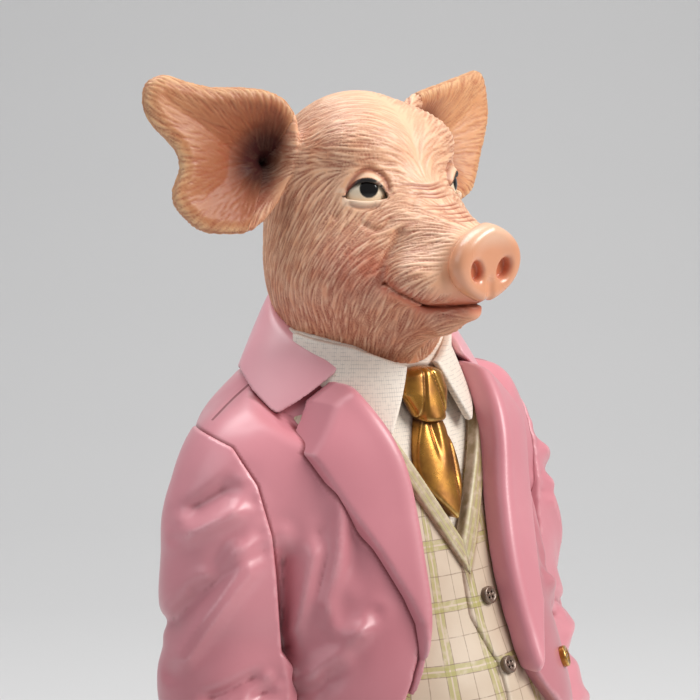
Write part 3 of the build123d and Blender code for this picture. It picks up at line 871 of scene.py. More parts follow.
def new_group(
    name: str, inputs: dict[str, str], outputs: dict[str, str]
) -> tuple[bpy.types.NodeTree, NodeSheet]:
    """Starts a shader node group.

    Args:
        name: Name of the group.
        inputs: Socket kinds by name.
        outputs: Socket kinds by name.

    Returns:
        The group and a sheet to draw on it.
    """
    tree = bpy.data.node_groups.new(name, "ShaderNodeTree")
    for label, kind in inputs.items():
        tree.interface.new_socket(label, in_out="INPUT", socket_type=kind)
    for label, kind in outputs.items():
        tree.interface.new_socket(label, in_out="OUTPUT", socket_type=kind)
    return tree, NodeSheet(tree)


class Effects:
    """Paint effects shared by several finishes, as node groups built once."""

    FLOAT = "NodeSocketFloat"
    COLOUR = "NodeSocketColor"

    def __init__(self) -> None:
        """Builds the groups."""
        self.mottle = self.build_mottle()
        self.wash = self.build_wash()
        self.stripe = self.build_stripe()

    def build_stripe(self) -> bpy.types.NodeTree:
        """A band that repeats along a cloth coordinate, with soft edges.

        Returns:
            The group.
        """
        tree, sheet = new_group(
            "woven_stripe",
            {"Place": self.FLOAT, "Pitch": self.FLOAT, "Half Width": self.FLOAT},
            {"Band": self.FLOAT},
        )
        given = sheet.add("NodeGroupInput")
        result = sheet.add("NodeGroupOutput")
        wobble = sheet.math("MULTIPLY", sheet.math("SUBTRACT", sheet.noise(160.0), 0.5), 0.5)
        place = sheet.math("ADD", given.outputs["Place"], wobble)
        half_pitch = sheet.math("MULTIPLY", given.outputs["Pitch"], 0.5)
        gap = sheet.math("PINGPONG", place, half_pitch)
        inside = sheet.math("SUBTRACT", given.outputs["Half Width"], gap)
        soft = sheet.math("MULTIPLY_ADD", inside, 7.0, clamp=True)
        soft.node.inputs[2].default_value = 0.5
        sheet.feed(result.inputs["Band"], soft)
        return tree

    def build_mottle(self) -> bpy.types.NodeTree:
        """Uneven hand-brushed paint: a colour that drifts between two tones.

        Returns:
            The group.
        """
        tree, sheet = new_group(
            "brushed_mottle",
            {"Light": self.COLOUR, "Deep": self.COLOUR, "Scale": self.FLOAT, "Strength": self.FLOAT},
            {"Colour": self.COLOUR, "Cloud": self.FLOAT},
        )
        given = sheet.add("NodeGroupInput")
        result = sheet.add("NodeGroupOutput")
        place = sheet.add("ShaderNodeTexCoord").outputs["Object"]
        cloud = sheet.add("ShaderNodeTexNoise")
        sheet.feed(cloud.inputs["Vector"], place)
        sheet.feed(cloud.inputs["Scale"], given.outputs["Scale"])
        sheet.feed(cloud.inputs["Detail"], 4.0)
        spread = sheet.ramp(cloud.outputs["Fac"], 0.3, 0.7)
        share = sheet.math("MULTIPLY", spread, given.outputs["Strength"], clamp=True)
        sheet.feed(result.inputs["Colour"], sheet.mix(share, given.outputs["Light"], given.outputs["Deep"]))
        sheet.feed(result.inputs["Cloud"], spread)
        return tree

    def build_wash(self) -> bpy.types.NodeTree:
        """A dark wash laid by the cut mask, in cuts and as painted shade, and dry paint that catches on
        rims.

        Returns:
            The group.
        """
        tree, sheet = new_group(
            "wash_and_painted_shade",
            {
                "Paint": self.COLOUR,
                "Wash": self.COLOUR,
                "Dry": self.COLOUR,
                "Cut": self.FLOAT,
                "Rim": self.FLOAT,
                "Wash Strength": self.FLOAT,
                "Dry Strength": self.FLOAT,
            },
            {"Colour": self.COLOUR},
        )
        given = sheet.add("NodeGroupInput")
        result = sheet.add("NodeGroupOutput")
        patchy = sheet.ramp(sheet.noise(260.0), 0.25, 0.65)
        dry = sheet.math("MULTIPLY", given.outputs["Rim"], given.outputs["Dry Strength"])
        dry = sheet.math("MULTIPLY", dry, patchy, clamp=True)
        colour = sheet.mix(dry, given.outputs["Paint"], given.outputs["Dry"])
        settled = sheet.math("MULTIPLY", given.outputs["Cut"], given.outputs["Wash Strength"], clamp=True)
        sheet.feed(result.inputs["Colour"], sheet.mix(settled, colour, given.outputs["Wash"]))
        return tree


@dataclass(frozen=True)
class Paint:
    """Hand-brushed paint on resin, with a wash in its cuts; its wash colour also lays painted shade where
    the cut mask holds it.
    """

    name: str
    light: Colour
    deep: Colour
    wash: Colour
    dry: Colour
    roughness: float = 0.4
    coat: float = 0.2
    coat_roughness: float = 0.25
    mottle_scale: float = 40.0
    mottle_strength: float = 0.6
    wash_strength: float = 0.9
    dry_strength: float = 0.4
    grain_scale: float = 900.0
    grain: float = 0.05
    metallic: float = 0.0
    subsurface: float = 0.0
    subsurface_radius: Triple = (0.0015, 0.0006, 0.0004)
    grain_depth: float = 0.0004
    seam_from: float = 2.65

    def base(self, sheet: NodeSheet, effects: Effects) -> tuple[Socket, Socket]:
        """The paint's colour before the wash, and the cloud behind it.

        Args:
            sheet: The material's nodes.
            effects: Shared effects.

        Returns:
            Colour and cloud sockets.
        """
        mottle = sheet.add("ShaderNodeGroup", node_tree=effects.mottle)
        sheet.feed_all(mottle, {
            "Light": self.light,
            "Deep": self.deep,
            "Scale": self.mottle_scale,
            "Strength": self.mottle_strength,
        })
        return mottle.outputs["Colour"], mottle.outputs["Cloud"]

    def tinted(self, sheet: NodeSheet, colour: Socket) -> Socket:
        """Further paint over the base; plain paint has none."""
        return colour

    def dull(self, sheet: NodeSheet) -> object:
        """Added roughness; plain paint has none."""
        return 0.0

    def material(self, effects: Effects) -> bpy.types.Material:
        """Builds the material.

        Args:
            effects: Shared effects.

        Returns:
            The material.
        """
        material = bpy.data.materials.new(self.name)
        material.use_nodes = True
        sheet = NodeSheet(material.node_tree)
        shader = material.node_tree.nodes["Principled BSDF"]
        colour, cloud = self.base(sheet, effects)
        colour = self.tinted(sheet, colour)
        wash = sheet.add("ShaderNodeGroup", node_tree=effects.wash)
        # The cut mask holds the wash in cuts and, on many pieces, painted shade in hollows and along joins.
        line = sheet.ramp(sheet.mask("seam"), self.seam_from, self.seam_from + 0.15)
        cut = sheet.math("MAXIMUM", sheet.mask("cut"), sheet.math("MULTIPLY", line, 0.8))
        sheet.feed_all(wash, {
            "Paint": colour,
            "Wash": self.wash,
            "Dry": self.dry,
            "Cut": cut,
            "Rim": sheet.mask("rim"),
            "Wash Strength": self.wash_strength,
            "Dry Strength": self.dry_strength,
        })
        sheet.feed(shader.inputs["Base Color"], wash.outputs["Colour"])
        uneven = sheet.math("MULTIPLY_ADD", cloud, 0.12)
        uneven.node.inputs[2].default_value = self.roughness - 0.06
        sheet.feed(shader.inputs["Roughness"], sheet.math("ADD", uneven, self.dull(sheet), clamp=True))
        shader.inputs["Coat Weight"].default_value = self.coat
        shader.inputs["Coat Roughness"].default_value = self.coat_roughness
        shader.inputs["Metallic"].default_value = self.metallic
        shader.inputs["Subsurface Weight"].default_value = self.subsurface
        shader.inputs["Subsurface Radius"].default_value = self.subsurface_radius
        shader.inputs["Subsurface Scale"].default_value = 1.0
        bump = sheet.add("ShaderNodeBump")
        bump.inputs["Strength"].default_value = self.grain
        bump.inputs["Distance"].default_value = self.grain_depth
        sheet.feed(bump.inputs["Height"], sheet.noise(self.grain_scale))
        sheet.feed(shader.inputs["Normal"], bump.outputs["Normal"])
        return material


@dataclass(frozen=True)
class SkinPaint(Paint):
    """Skin with a blush and painted shade, pale paint and painted highlights, and dark ear hollows that are
    partly painted shade.
    """

    # blush also serves as painted shade on the jowls; pale also as painted highlight on the bridge, crown
    # and snout top; hollow and flush are partly painted shade in the ears
    blush: Colour = srgb(206, 116, 90)
    pale: Colour = srgb(244, 214, 186)
    hollow: Colour = srgb(60, 4, 0)
    flush: Colour = srgb(146, 78, 44)
    lash: Colour = srgb(14, 6, 5)

    def tinted(self, sheet: NodeSheet, colour: Socket) -> Socket:
        """Adds the blush and painted shade, the pale paint and painted highlights, and the ear hollows with
        their painted shade.

        Args:
            sheet: The material's nodes.
            colour: The paint under it.

        Returns:
            The painted colour.
        """
        colour = sheet.mix(sheet.mask("blush"), colour, self.blush)
        colour = sheet.mix(sheet.mask("pale"), colour, self.pale)
        colour = sheet.mix(sheet.mask("flush"), colour, self.flush)
        colour = sheet.mix(sheet.mask("hollow"), colour, self.hollow)
        return sheet.mix(sheet.mask("lash"), colour, self.lash)

    def dull(self, sheet: NodeSheet) -> object:
        """Less shine down in the hollows."""
        return sheet.math("MULTIPLY", sheet.mask("hollow"), 0.5)


@dataclass(frozen=True)
class PlaidPaint(Paint):
    """Cloth with painted double stripes both ways, drawn from the piece's cloth coordinates."""

    effects: Effects | None = None
    stripe: Colour = srgb(162, 154, 78)
    ink: Colour = srgb(104, 74, 52)
    pitch_round: float = 12.0
    pitch_up: float = 15.0
    half: float = 1.25
    split: float = 0.22

    def band(self, sheet: NodeSheet, place: Socket, pitch: float, half: float) -> Socket:
        """A repeated band along one cloth coordinate, from 0 to 1."""
        node = sheet.add("ShaderNodeGroup", node_tree=self.effects.stripe)
        sheet.feed_all(node, {"Place": place, "Pitch": pitch, "Half Width": half})
        return node.outputs["Band"]

    def tinted(self, sheet: NodeSheet, colour: Socket) -> Socket:
        """Paints the stripes, their outlines and a thin line between them.

        Args:
            sheet: The material's nodes.
            colour: The paint under it.

        Returns:
            The painted colour.
        """
        patchy = sheet.ramp(sheet.noise(420.0), 0.2, 0.6)
        for mask, pitch in (("u", self.pitch_round), ("v", self.pitch_up)):
            place = sheet.mask(mask)
            outer = self.band(sheet, place, pitch, self.half + 0.2)
            inner = self.band(sheet, place, pitch, self.half)
            gap = self.band(sheet, place, pitch, self.split)
            between = self.band(sheet, sheet.math("ADD", place, pitch / 2), pitch, 0.12)
            edges = sheet.math("SUBTRACT", outer, inner, clamp=True)
            edges = sheet.math("MAXIMUM", edges, sheet.math("MULTIPLY", between, 0.8))
            fill = sheet.math("MULTIPLY", sheet.math("SUBTRACT", inner, gap, clamp=True), 0.72)
            colour = sheet.mix(sheet.math("MULTIPLY", fill, patchy), colour, self.stripe)
            drawn = sheet.math("MULTIPLY", edges, sheet.math("MULTIPLY", patchy, 0.75))
            colour = sheet.mix(drawn, colour, self.ink)
        return colour


@dataclass(frozen=True)
class WeavePaint(PlaidPaint):
    """Cloth with fine scribed lines both ways."""

    def tinted(self, sheet: NodeSheet, colour: Socket) -> Socket:
        """Paints the scribed lines, broken here and there.

        Args:
            sheet: The material's nodes.
            colour: The paint under it.

        Returns:
            The painted colour.
        """
        patchy = sheet.ramp(sheet.noise(700.0), 0.35, 0.6)
        for mask, pitch in (("u", self.pitch_round), ("v", self.pitch_up)):
            line = self.band(sheet, sheet.mask(mask), pitch, self.half)
            colour = sheet.mix(sheet.math("MULTIPLY", line, patchy), colour, self.ink)
        return colour


@dataclass(frozen=True)
class EyePaint(Paint):
    """Cream eyeball with a black iris; its dark wash paints shade under the upper lid."""

    iris: Colour = (0.004, 0.003, 0.003)

    def tinted(self, sheet: NodeSheet, colour: Socket) -> Socket:
        """Adds the painted iris."""
        return sheet.mix(sheet.mask("iris"), colour, self.iris)


class Finishes:
    """All the materials of the figure."""

    def __init__(self) -> None:
        """Builds every finish once."""
        effects = Effects()
        skin_wash = srgb(146, 60, 34)
        self.skin = SkinPaint(
            "painted_skin", srgb(237, 184, 145), srgb(228, 160, 118), skin_wash, srgb(245, 216, 186),
            roughness=0.5, coat=0.08, dry_strength=0.7, wash_strength=0.95, subsurface=0.05,
        ).material(effects)
        self.ear = SkinPaint(
            "painted_ear", srgb(212, 154, 104), srgb(186, 124, 78), skin_wash, srgb(236, 202, 158),
            roughness=0.55, coat=0.05, dry_strength=0.45, wash_strength=0.8, subsurface=0.05,
            pale=srgb(232, 196, 150),
        ).material(effects)
        self.snout = SkinPaint(
            "glossy_snout", srgb(218, 154, 118), srgb(204, 136, 100), srgb(196, 100, 46),
            srgb(240, 204, 172),
            roughness=0.28, coat=0.5, mottle_strength=0.4,
        ).material(effects)
        self.eye = EyePaint(
            "painted_eye", srgb(238, 222, 196), srgb(224, 200, 170), srgb(20, 10, 8), srgb(246, 236, 216),
            roughness=0.16, coat=0.0, grain=0.0,
        ).material(effects)
        pink = Paint(
            "dusty_pink_lacquer", srgb(214, 144, 153), srgb(196, 118, 129), srgb(108, 22, 32),
            srgb(240, 200, 204), roughness=0.38, coat=0.3, mottle_scale=22.0, grain=0.03,
            dry_strength=0.35,
        )
        self.jacket = pink.material(effects)
        # The collar's lighter copy of the jacket paint is a painted highlight on its up-turned face.
        pale = replace(pink, name="highlit_pink_lacquer", light=srgb(230, 170, 178), deep=srgb(216, 148, 158))
        self.collar = pale.material(effects)
        self.shirt = WeavePaint(
            "off_white_shirt", srgb(238, 229, 216), srgb(224, 211, 196), srgb(128, 104, 90),
            srgb(246, 240, 230), roughness=0.6, coat=0.05, mottle_scale=60.0, effects=effects,
            ink=srgb(198, 190, 180), pitch_round=1.1, pitch_up=1.0, half=0.08,
        ).material(effects)
        vest = {
            "light": srgb(206, 187, 165), "deep": srgb(188, 166, 143), "wash": srgb(120, 78, 42),
            "dry": srgb(240, 228, 208), "wash_strength": 0.6, "roughness": 0.5, "coat": 0.1,
            "mottle_scale": 60.0, "effects": effects,
        }
        self.vest = PlaidPaint("plaid_vest", **vest).material(effects)
        self.vest_band = PlaidPaint(
            "striped_vest_band", **vest, pitch_round=1.5, half=0.4, split=-1.0, ink=srgb(132, 110, 62)
        ).material(effects)
        self.gold = Paint(
            "gold_leaf", srgb(190, 134, 52), srgb(114, 68, 20), srgb(78, 38, 6), srgb(250, 216, 136),
            roughness=0.3, coat=0.25, mottle_scale=150.0, mottle_strength=0.9, metallic=0.75,
            dry_strength=0.7,
        ).material(effects)
        self.pewter = Paint(
            "pewter_button", srgb(120, 100, 86), srgb(78, 62, 54), srgb(30, 20, 16), srgb(170, 150, 130),
            roughness=0.35, coat=0.3, mottle_scale=400.0, metallic=0.4,
        ).material(effects)
        self.shoe = Paint(
            "brown_shoe", srgb(104, 58, 36), srgb(70, 36, 22), srgb(24, 12, 8), srgb(150, 96, 64),
            roughness=0.25, coat=0.5, mottle_scale=50.0,
        ).material(effects)
        self.sole = Paint(
            "dark_sole", srgb(60, 44, 36), srgb(44, 32, 26), srgb(16, 10, 8), srgb(90, 70, 58),
            roughness=0.6, coat=0.0,
        ).material(effects)
        self.felt = Paint(
            "green_felt", srgb(62, 84, 66), srgb(46, 66, 52), srgb(20, 30, 22), srgb(90, 110, 92),
            roughness=0.95, coat=0.0, mottle_scale=300.0, grain_scale=2500.0, grain=0.6,
        ).material(effects)
        self.steel = Paint(
            "rod_steel", srgb(176, 176, 180), srgb(150, 150, 156), srgb(60, 60, 62), srgb(210, 210, 214),
            roughness=0.35, coat=0.0, metallic=1.0, mottle_scale=200.0,
        ).material(effects)
        self.wood = Paint(
            "dowel_wood", srgb(206, 168, 120), srgb(180, 138, 92), srgb(110, 76, 44), srgb(226, 194, 150),
            roughness=0.7, coat=0.0, mottle_scale=120.0,
        ).material(effects)


@dataclass
class TorsoForm:
    """The body under the clothes, and its layers of cloth as growing offsets."""

    heights: Sequence[float] = (122.0, 140.0, 158.0, 190.0, 222.0, 250.0, 268.5, 281.0)
    half_widths: Sequence[float] = (40.0, 38.5, 38.0, 39.5, 39.5, 38.5, 36.0, 24.0)
    fronts: Sequence[float] = (37.0, 44.0, 50.0, 55.5, 43.0, 33.0, 26.0, 20.5)
    backs: Sequence[float] = (29.0, 28.5, 29.0, 31.0, 32.5, 31.0, 27.5, 20.0)
    lifts: Sequence[float] = (0.0, 0.0, 0.0, 0.0, 0.0, 0.0, 0.25, 0.1)
    tables: dict[float, tuple[Profile, Profile, Profile]] = field(default_factory=dict)

    def layer(self, grow: float) -> tuple[Profile, Profile, Profile]:
        """Half width, half depth and middle of a layer, by height.

        Args:
            grow: How far the layer lies outside the body.

        Returns:
            The three profiles.
        """
        if grow not in self.tables:
            heights = [z + lift * grow for z, lift in zip(self.heights, self.lifts)]
            depths = [(f + b) / 2 + grow for f, b in zip(self.fronts, self.backs)]
            middles = [(b - f) / 2 for f, b in zip(self.fronts, self.backs)]
            widths = [w + grow for w in self.half_widths]
            self.tables[grow] = tuple(Profile(heights, v) for v in (widths, depths, middles))
        return self.tables[grow]

    def distance(self, p: Places, grow: float) -> Array:
        """Signed distance to a layer of the torso.

        Args:
            p: Sample places.
            grow: How far the layer lies outside the body.

        Returns:
            The distance, close near the layer.
        """
        wide, deep, middle = self.layer(grow)
        a, b, c = wide.at(p.z), deep.at(p.z), middle.at(p.z)
        y = p.y - c
        reach = np.sqrt((p.x / a) ** 2 + (y / b) ** 2)
        safe = np.maximum(reach, 0.05)
        gx = p.x / (a * a * safe)
        gy = y / (b * b * safe)
        gz = p.x**2 * wide.slope(p.z) / a**3 + y * y * deep.slope(p.z) / b**3
        gz = -(gz + y * middle.slope(p.z) / b**2) / safe
        return (reach - 1.0) / np.maximum(np.sqrt(gx * gx + gy * gy + gz * gz), 0.012)


@dataclass
class Ear:
    """One cupped ear, in the right side's frame."""

    edge: Sequence[tuple[float, float]]
    root: Triple = (-27.0, -1.5, 339.0)
    tip: Triple = (-60.0, 12.0, 357.0)
    facing: Triple = (-0.35, -0.92, 0.15)
    centre: tuple[float, float] = (1.5, -1.5)
    deep: Triple = (1.5, -1.0, -10.5)
    # The right ear keeps this long reach, so its brown also paints shade across its turned face; the left
    # ear's is shorter.
    brown_reach: float = 48.0
    thick: float = 2.4
    cup: float = 15.0
    flare: float = 1.5

    def __post_init__(self) -> None:
        """Smooths the edge once."""
        self.rim_line = smooth_line(self.edge, 3, closed=True)

    def axes(self) -> tuple[Array, Array, Array, Array]:
        """Root place, and the ear's directions: along, across and out of its face.

        Returns:
            The place and three directions.
        """
        root = np.array(self.root)
        along = np.array(self.tip) - root
        along /= np.linalg.norm(along)
        out = np.array(self.facing)
        out -= along * (out @ along)
        out /= np.linalg.norm(out)
        across = np.cross(out, along)
        return root, along, across * np.sign(across[2]), out

    def local(self, p: Places) -> tuple[Array, Array, Array]:
        """Places along, across and out of the ear's face."""
        root, along, across, out = self.axes()
        return along_axes(p, root, (along, across, out))

    def rim(self, s: Array, t: Array) -> Array:
        """Distance to the ear's edge, negative inside."""
        return outline(s, t, self.rim_line)

    def sheet(self, s: Array, t: Array, rim: Array) -> Array:
        """Where the ear's sheet lies, out of its face.

        Args:
            s: Place along the ear.
            t: Place across the ear.
            rim: Distance to the edge, negative inside.

        Returns:
            Offset of the sheet, negative in the cup.
        """
        gap = np.hypot(s - self.centre[0], t - self.centre[1])
        share = gap / np.maximum(gap + np.maximum(-rim, 0.0), 1e-3)
        lip = self.flare * smooth_step(-4.0, 0.0, rim)
        return -self.cup * (1.0 - share) ** 1.35 - lip

    def fields(self, p: Places) -> tuple[Array, Array]:
        """Signed distances to the ear and to the space inside its cup.

        Args:
            p: Sample places in the right side's frame.

        Returns:
            The ear and its cavity.
        """
        s, t, w = self.local(p)
        rim = self.rim(s, t)
        lift = w - self.sheet(s, t, rim)
        ear = soft_meet(np.abs(lift) * 0.72 - self.thick / 2, rim, 1.6)
        cavity = np.maximum(np.maximum(self.thick * 0.6 - lift * 0.72, rim + 0.8), w - 9.0)
        return ear, cavity

    def shade(self, p: Places) -> tuple[Array, Array]:
        """Dark paint of the hollow and the brown that fades out of it, both partly painted shade, for places
        on the skin.

        Args:
            p: Places on the skin, in the right side's frame.

        Returns:
            Masks of the dark and of the brown paint.
        """
        s, t, w = self.local(p)
        rim = self.rim(s, t)
        inner = smooth_step(-0.2, 0.8, w - self.sheet(s, t, rim)) * smooth_step(0.2, -4.6, rim)
        a, b, c = self.deep
        gap = np.sqrt((s - a) ** 2 + ((t - b) * 0.8) ** 2 + ((w - c) * 0.9) ** 2)
        inner = inner * (1.0 - smooth_step(7.0, 10.0, w))
        dark = inner * (1.0 - smooth_step(6.5, 14.5, gap))
        return dark, inner * (1.0 - smooth_step(9.0, self.brown_reach, gap))


def right_ear() -> Ear:
    """The ear turned to the viewer, with a notch under its tip.

    Returns:
        The ear.
    """
    return Ear(edge=(
        (-1.2, 7.1), (0.8, 11.2), (5.2, 14.0), (10.6, 14.2), (17.8, 11.8), (25.1, 8.3), (32.4, 6.6),
        (38.0, 5.4), (41.2, 1.0), (38.8, -5.1), (33.8, -8.2), (27.5, -10.6), (24.3, -14.5), (23.8, -20.5),
        (20.7, -24.3), (13.0, -26.6), (5.7, -24.2), (-0.1, -20.4), (-3.6, -11.0), (-3.0, -1.3),
    ))


def left_ear() -> Ear:
    """The far ear, fuller below its tip.

    Returns:
        The ear.
    """
    return Ear(edge=(
        (-6.0, 9.0), (-5.5, 14.5), (-1.0, 16.6), (7.0, 14.4), (17.5, 10.6), (31.7, 5.6), (38.6, 2.6),
        (38.8, -2.5), (34.8, -9.8), (29.2, -13.6), (23.1, -16.5), (17.6, -19.5), (12.1, -21.5), (5.7, -20.5),
        (-0.5, -17.5), (-3.6, -10.0), (-3.0, -1.3),
    ), brown_reach=20.0)


@dataclass(frozen=True)
class Fold:
    """A soft ridge or valley in cloth or skin, drawn on the plane that faces the right front."""

    line: Sequence[tuple[float, float]]
    rise: float
    width: float

    def height(self, across: Array, up: Array) -> Array:
        """How far the fold lifts the surface; it fades out at its ends."""
        ends = [np.hypot(across - u, up - v) for u, v in (self.line[0], self.line[-1])]
        fade = smooth_step(0.0, 2.6 * self.width, np.minimum(*ends))
        return self.rise * fade * np.exp(-((line_gap(across, up, self.line) / self.width) ** 2))


SEAM_REACH = 3.0
LID_FOLDS = (
    Fold(
        ((4.9, -1.9), (3.9, 1.1), (1.8, 3.9), (-0.8, 5.2), (-3.7, 4.2), (-5.7, 1.8), (-6.3, -1.9)), -1.0, 0.8
    ),
    Fold(((4.7, -3.2), (2.1, -4.5), (-1.2, -4.8), (-4.1, -3.8)), -0.6, 0.6),
    Fold(((1.8, -7.8), (-0.4, -9.6), (-3.3, -10.5), (-5.9, -8.9), (-7.0, -7.0)), -0.5, 0.8),
    Fold(((7.9, -8.9), (7.4, -7.0), (5.8, -5.2)), -0.5, 0.8),
    Fold(((-11.2, -7.0), (-13.2, -1.9), (-14.7, 1.4)), -0.4, 1.1),
)


@dataclass
class Head:
    """Skull, muzzle, jaw, lids and ears, cut by hand with hair strokes."""

    crown: Lump = Lump((0.0, 0.5, 328.5), (24.5, 25.0, 26.8))
    jowls: Lump = Lump((0.0, -3.5, 307.0), (26.3, 27.0, 19.5), 13.0)
    cheek: Lump = Lump((-14.0, -14.5, 309.0), (13.0, 14.5, 12.5), 7.0)
    brow: Lump = Lump((-9.0, -11.5, 341.5), (12.0, 9.0, 7.5), 7.0)
    muzzle: Rod = Rod((0.0, -12.0, 319.0), (0.0, -39.0, 314.2), 17.5, 9.6, 8.0)
    muzzle_flatness: float = 0.84
    upper_lip: Lump = Lump((-10.0, -34.5, 309.6), (9.5, 10.5, 7.2), 4.0)
    jaw_line: Sequence[Triple] = ((0.0, -10.0, 297.5), (0.0, -32.0, 299.6), (0.0, -42.6, 301.0))
    jaw_radii: Sequence[float] = (13.0, 5.6, 2.6)
    chin: Lump = Lump((0.0, -41.0, 306.4), (8.5, 5.0, 4.0), 2.5)
    neck: Rod = Rod((0.0, -1.0, 298.0), (0.0, 0.0, 276.0), 21.5, 20.0, 7.0)
    snout_end: float = -46.2
    blushed: Lump = Lump((-20.0, -20.0, 312.0), (9.0, 12.0, 8.0))
    eye: Triple = (-12.2, -15.7, 330.4)
    eye_radius: float = 6.5
    gaze: Triple = (-0.64, -0.75, 0.17)
    lid: float = 1.1
    eye_half_width: float = 5.5
    eye_shift: float = -0.5
    eye_corner: float = -2.2
    eye_top: float = 4.0
    eye_low: float = 0.75
    ear_split: float = 2.0
    ear_from: float = 14.0
    step: float = 0.36
    hair_gap: float = 1.75
    stroke_depth: float = 0.44
    stroke_rise: float = 0.12
    wrinkle_length: float = 18.0
    ears: dict[Side, Ear] = field(default_factory=lambda: {Side.RIGHT: right_ear(), Side.LEFT: left_ear()})
    mouth: Sequence[tuple[float, float]] = (
        (6.6, 17.0), (9.1, 15.0), (12.1, 13.5), (17.8, 11.2), (25.3, 11.2), (30.6, 11.5),
    )
    smile: Sequence[tuple[float, float]] = ((10.4, 28.9), (6.6, 21.3), (6.4, 17.3))

    def eye_axes(self) -> tuple[Array, Array, Array]:
        """The right eye's directions: ahead, to the outer corner and up.

        Returns:
            The three directions.
        """
        ahead = np.array(self.gaze) / np.linalg.norm(self.gaze)
        outer = np.cross(ahead, np.array([0.0, 0.0, 1.0]))
        outer /= np.linalg.norm(outer)
        outer *= -np.sign(outer[0])
        up = np.array([0.0, 0.0, 1.0]) - ahead * ahead[2]
        return ahead, outer, up / np.linalg.norm(up)

    def eye_local(self, p: Places) -> tuple[Array, Array, Array]:
        """Places ahead of, outside and above the right eye's middle."""
        return along_axes(p, self.eye, self.eye_axes())

    def lid_lines(self, outer: Array) -> tuple[Array, Array]:
        """Heights of the upper and the lower lid's edge across the eye."""
        share = np.clip(1.0 - ((outer - self.eye_shift) / self.eye_half_width) ** 2, 0.0, 1.0)
        return self.eye_corner + self.eye_top * share**0.62, self.eye_corner - self.eye_low * share

    def opening(self, p: Places) -> Array:
        """The almond space between the right eye's lids, negative inside.

        Args:
            p: Sample places.

        Returns:
            Signed distance.
        """
        ahead, outer, up = self.eye_local(p)
        top, low = self.lid_lines(outer)
        almond = np.maximum(up - top, low - up) * 0.75
        almond = np.maximum(almond, np.abs(outer - self.eye_shift) - self.eye_half_width)
        return np.maximum(almond, 1.0 - ahead)

    def skull(self, p: Places) -> Array:
        """The head without lids and ears.

        Args:
            p: Sample places folded to the right side.

        Returns:
            Signed distance.
        """
        head = self.crown.distance(p)
        for lump in (self.jowls, self.cheek, self.brow):
            head = lump.onto(p, head)
        wide = Places(p.x * self.muzzle_flatness, p.y, p.z)
        head = self.upper_lip.onto(p, self.muzzle.onto(wide, head))
        jaw = chain(wide, self.jaw_line, self.jaw_radii, 3.0)
        head = soft_join(head, jaw, 2.2)
        head = self.neck.onto(p, self.chin.onto(p, head))
        across, up, away = facing(p)
        ahead = smooth_step(-12.0, -20.0, away)
        head = head + 1.1 * np.exp(-((line_gap(across, up, self.smile) / 1.7) ** 2)) * ahead
        slit = np.maximum(line_gap(across, up, self.mouth) - 0.15, -0.9 - head)
        head = soft_cut(head, np.maximum(slit, away + 16.0), 1.0)
        return soft_meet(head, self.snout_end - p.y, 0.8)

    def mouth_gap(self, p: Places) -> Array:
        """Distance to the line between the lips, for places on the skin's right side."""
        across, up, away = facing(p)
        return line_gap(across, up, self.mouth) + 20.0 * smooth_step(-20.0, -12.0, away)

    def lids(self, p: Places, head: Array) -> Array:
        """Adds thick lids round the right eye and opens them.

        Args:
            p: Sample places.
            head: The head before its lids.

        Returns:
            Signed distance.
        """
        ahead, outer, up = self.eye_local(p)
        globe = np.sqrt(ahead**2 + outer**2 + up**2)
        head = soft_join(head, globe - self.eye_radius - self.lid, 2.6)
        near = smooth_step(0.0, 3.0, ahead) * (1.0 - smooth_step(17.0, 22.0, globe))
        for crease in LID_FOLDS:
            head = head - crease.height(outer, up) * near
        return soft_cut(head, np.maximum(self.opening(p), globe - 11.0), 0.5)

    def whole(self, p: Places) -> Array:
        """Head and both ears as one skin.

        Args:
            p: Sample places.

        Returns:
            Signed distance.
        """
        folded = p.folded()
        head = self.lids(folded, self.skull(folded))
        for side, ear in self.ears.items():
            part = np.nonzero(p.x * side.value > self.ear_from)[0]
            if len(part):
                leaf, cavity = ear.fields(Places(folded.x[part], folded.y[part], folded.z[part]))
                head[part] = soft_join(soft_cut(head[part], cavity, 1.2), leaf, 4.0)
        return head

    def joint(self, p: Places) -> Array:
        """How far places lie beyond the ears' joints."""
        folded = p.folded()
        return self.ears[Side.RIGHT].local(folded)[0] - self.ear_split

    def casting(self, p: Places) -> Array:
        """The head's own casting, up to the ears' joints.

        Args:
            p: Sample places.

        Returns:
            Signed distance.
        """
        folded = p.folded()
        globe = np.sqrt(sum(v * v for v in self.eye_local(folded)))
        skin = np.maximum(self.whole(p), self.joint(p))
        return soft_cut(skin, globe - self.eye_radius, 0.2)

    def ear_casting(self, p: Places) -> Array:
        """An ear's own casting, from its joint to the tip."""
        return np.maximum(self.whole(p), -0.5 - self.joint(p))

    def flow(self, spot: Array) -> Array:
        """Which way the hair lies at a place on the head.

        Args:
            spot: A place on the skin.

        Returns:
            A direction of any length.
        """
        side = -1.0 if spot[0] < 0 else 1.0
        bridge = math.exp(-((spot[0] / 7.0) ** 2)) * float(smooth_step(-14.0, -26.0, spot[1]))
        brow = float(smooth_step(328.0, 340.0, spot[2]))
        jowl = 1.0 - float(smooth_step(298.0, 312.0, spot[2]))
        muzzle = float(smooth_step(-20.0, -32.0, spot[1]))
        way = np.array([0.30 * side, 0.5, -1.0])
        way = way + muzzle * (1.0 - jowl) * (np.array([0.30 * side, 0.95, -0.45]) - way)
        way = way + jowl * (np.array([0.05 * side, 0.15, -1.0]) - way)
        way = way + brow * (np.array([0.95 * side, 0.8, 0.1]) - way)
        return way + bridge * (np.array([0.25 * side, 0.9, 0.35]) - way)

    def ripple(self, spot: Array, wave: float) -> Array:
        """A wavy way across the snout."""
        return np.array([1.0, 0.03 * spot[0] + 0.4 * math.sin(spot[0] * wave), 0.0])

